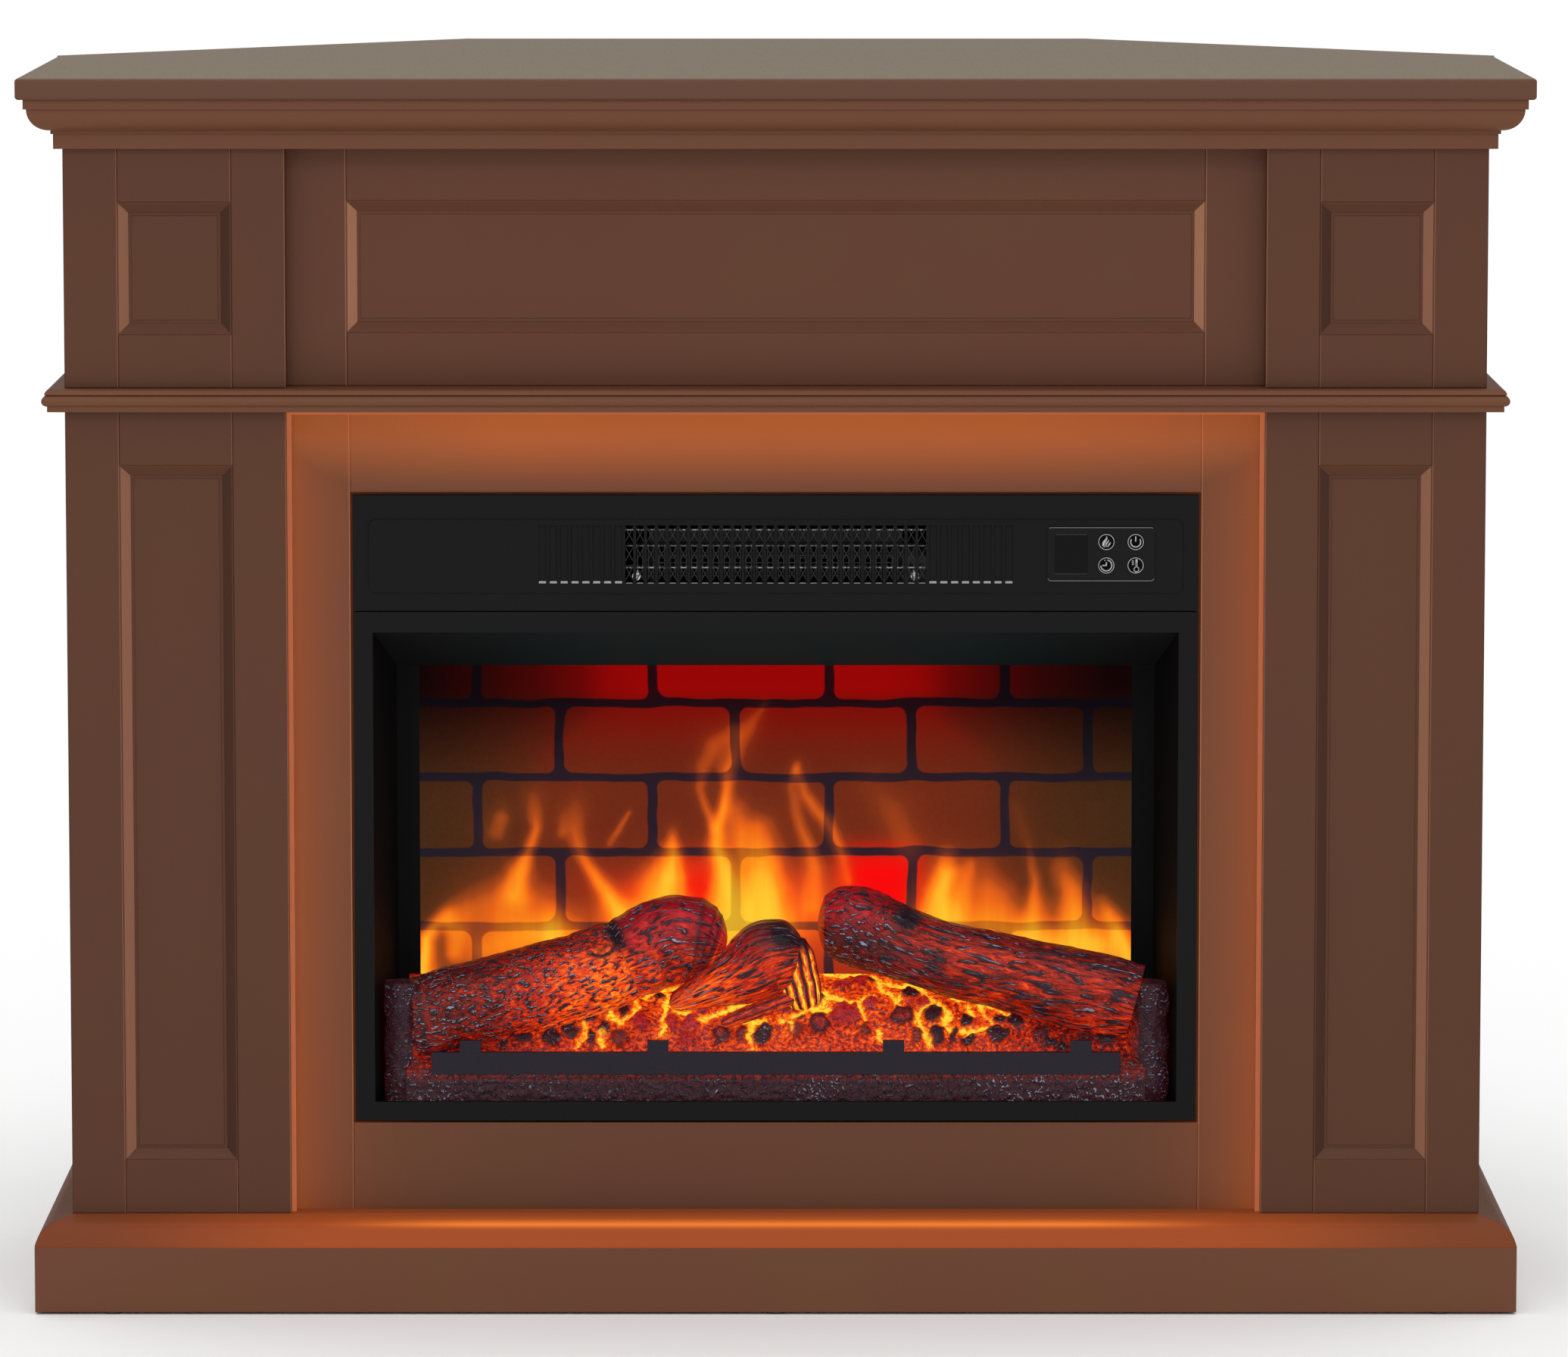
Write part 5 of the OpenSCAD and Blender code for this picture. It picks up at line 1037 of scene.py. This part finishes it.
def edge_lines(cx, cz, w, h, r):
    """Lines along the upper and the lower edge of a rounded rectangle, with part of its corners."""
    x, z = w / 2 - r, h / 2 - r
    lines = []
    for side, reach in ((1, 40), (-1, 70)):
        turn = np.radians(range(0, reach + 1, 10))
        left, right = ([(cx + s * (x + r * math.sin(a)), cz + side * (z + r * math.cos(a))) for a in turn]
                       for s in (-1, 1))
        lines.append(left[::-1] + right)
    return lines


def face_centre(low, high):
    """Centre of a box as seen from the front."""
    return (low[0] + high[0]) / 2, (low[2] + high[2]) / 2


def panel_trim():
    """Printed light lines on the edges of the bezel and of the display."""
    for node, slot, inset, r, width, finish, name in (
            ("control_bezel", "gloss_black", 1.0, 2.9, 0.62, SILVER, "bezel_line"),
            ("display_window", "display_glass", 0.6, 0.8, 0.45, FAINT, "window_line")):
        low, high = box_mm(node)
        lines = edge_lines(*face_centre(low, high), high[0] - low[0] - inset, high[2] - low[2] - inset, r)
        piece(name, *bars(lines, width, (low[1] - 0.07, low[1] + 0.1)), slot, finish, smooth=False)


# Lines of each symbol round its button's centre: across, up and, where it varies, width.
SYMBOLS = {
    "button_flame": [
        curve([(-1.4, -4.3, 0.5), (-2.6, -2.6, 1.8), (-2.1, -0.6, 2.4), (-0.8, 1.4, 1.9), (0.2, 3.2, 1.2),
               (0.1, 4.8, 0.3)]),
        curve([(-0.1, -4.2, 0.4), (-0.4, -2.4, 1.0), (0.6, -0.6, 1.2), (1.6, 0.7, 0.9), (2.1, 1.9, 0.3)]),
        curve([(0.8, -4.3, 0.4), (1.8, -2.8, 1.1), (2.9, -1.4, 1.1), (3.6, -0.1, 0.3)])],
    "button_power": [arc(0, 0, 4.2, 147, 393), [(0, 0.4), (0, 2.5), (0, 4.8)]],
    "button_timer": [
        arc(0, 0, 4.6, -178, 80), [(-1.7, 4.4, 0.9), (-0.8, 4.4, 0.9)],
        [(0, 2.9), (0, 1.5), (0, 0.45)], [(-3.3, 0), (-1.5, 0), (0.45, 0)]],
    "button_heat": [
        [(0.8, 5.3, 1.7), (0.8, 4.0, 1.7), (0.8, 2.4, 1.7)],
        [(x, z, 0.65) for x, z in arc(0.8, -3.3, 2.05, 113, 427, 24)],
        *[[(x, 2.4, 0.5), (x, -1.6, 0.5)] for x in (0.3, 1.35)],
        *[[(-3.1, z, 0.5), (-1.4, z, 0.5)] for z in (4.0, 2.9, 1.8, 0.7)]],
}


def button_marks():
    """A ring and a symbol on each button, which ride in with it."""
    for node, lines in SYMBOLS.items():
        low, high = box_mm(node)
        cx, cz = face_centre(low, high)
        symbol = [[(cx + x, cz + z, *width) for x, z, *width in line] for line in lines]
        for mark, paths, width in (("_symbol", symbol, 0.95), ("_ring", [arc(cx, cz, 6.45)], 0.55)):
            mesh = bars(paths, width, (low[1] - 0.06, low[1] + 0.1))
            piece(node + mark, *mesh, "button_black", WHITE, body=node, smooth=False)


SLOTS, SLOT_PITCH, BLIND = 44, 9.13, 8  # slots in the grille, and how many are blind at each end
LIP_Z = 614.85


def grille_trim():
    """Painted highlights on the lower lips of the grille's slots: pale strips where the lips catch the light.
    """
    points, faces = [], []
    for i in range(SLOTS):
        x = (i - (SLOTS - 1) / 2) * SLOT_PITCH
        w, h = (2.7, 0.55) if BLIND <= i < SLOTS - BLIND else (3.1, 1.9)
        rim = [(58.95, 0), (60.1, 0), (60.1, h * 0.55), (59.7, h), (59.2, h), (58.95, h * 0.6)]
        faces += tube(4, len(rim), len(points))
        for sx, shrink in ((-w, 0.35), (-w + 0.3, 0), (w - 0.3, 0), (w, 0.35)):
            points += [place(x + sx, d + shrink * 0.6, LIP_Z + up * (1 - shrink * 0.5)) for d, up in rim]
    piece("slot_lips", np.array(points), faces, "black_steel", LIP_HIGHLIGHT, smooth=False)


panel_trim()
button_marks()
grille_trim()


# ---------------------------------------------------------------- floor, light and camera

def floor():
    """A wide pale floor."""
    n = Net("floor_paper")
    mat = n.surface(n.mix(n.noise(3.0), 0.94, 0.96), 0.9, Specular_IOR_Level=0.1)
    mesh = bpy.data.meshes.new("floor")
    s = 120.0
    mesh.from_pydata([(-s, -s, 0), (s, -s, 0), (s, s, 0), (-s, s, 0)], [], [(0, 1, 2, 3)])
    mesh.materials.append(mat)
    link("floor", mesh)


def world():
    """Even white light, brighter from above."""
    n = Net("studio", bpy.data.worlds, "Generated")
    sky = n.ramp(n.z, [(0.0, 0.45), (0.3, 0.5), (1.0, 0.9)])
    back = n.add("ShaderNodeBackground", {"Color": sky, "Strength": 1.0})
    n.add("ShaderNodeOutputWorld", {"Surface": back.outputs[0]})
    bpy.context.scene.world = n.mat


def light(name, kind, at, turn, power, **more):
    """A lamp of the kind given; more holds what only that kind has."""
    data = bpy.data.lights.new(name, kind)
    data.energy = power
    for key, value in more.items():
        setattr(data, key, value)
    obj = link(name, data)
    obj.location, obj.rotation_euler = at, turn
    obj.visible_camera = kind != "AREA"


def sun(name, elevation, softness, power):
    """Even light from the front at the elevation given, in degrees."""
    light(name, "SUN", (0, -2, 4), (math.radians(90 - elevation), 0, 0), power, angle=math.radians(softness))


def glint(name, at, aim=(0.0, -0.25, 0.3)):
    """A small lamp that shows as a highlight on gloss."""
    gx, gy, gz = (b - a for a, b in zip(at, aim))
    turn = (math.atan2(math.hypot(gx, gy), -gz), 0, math.atan2(-gx, gy))
    light(name, "AREA", at, turn, 2.5, shape="RECTANGLE", size=0.12, size_y=0.12)


def camera():
    """The photo's camera, seven metres in front of the top's front edge."""
    data = bpy.data.cameras.new("camera")
    data.lens, data.sensor_width = 193.65, 36.0
    data.shift_x = 0.0053
    data.clip_start, data.clip_end = 0.5, 400.0
    obj = link("camera", data)
    obj.location = (0.0, -7.3845, 1.376)
    obj.rotation_euler = (math.radians(83.2), 0.0, 0.0)
    bpy.context.scene.camera = obj


floor()
world()
sun("overhead", 90, 65, 1.0)
sun("front", 20, 40, 0.5)
glint("glint_left", (-0.9, -2.4, 2.0))
glint("glint_right", (0.7, -2.4, 2.2))
camera()
view = bpy.context.scene.view_settings
view.view_transform, view.look = "Standard", "None"
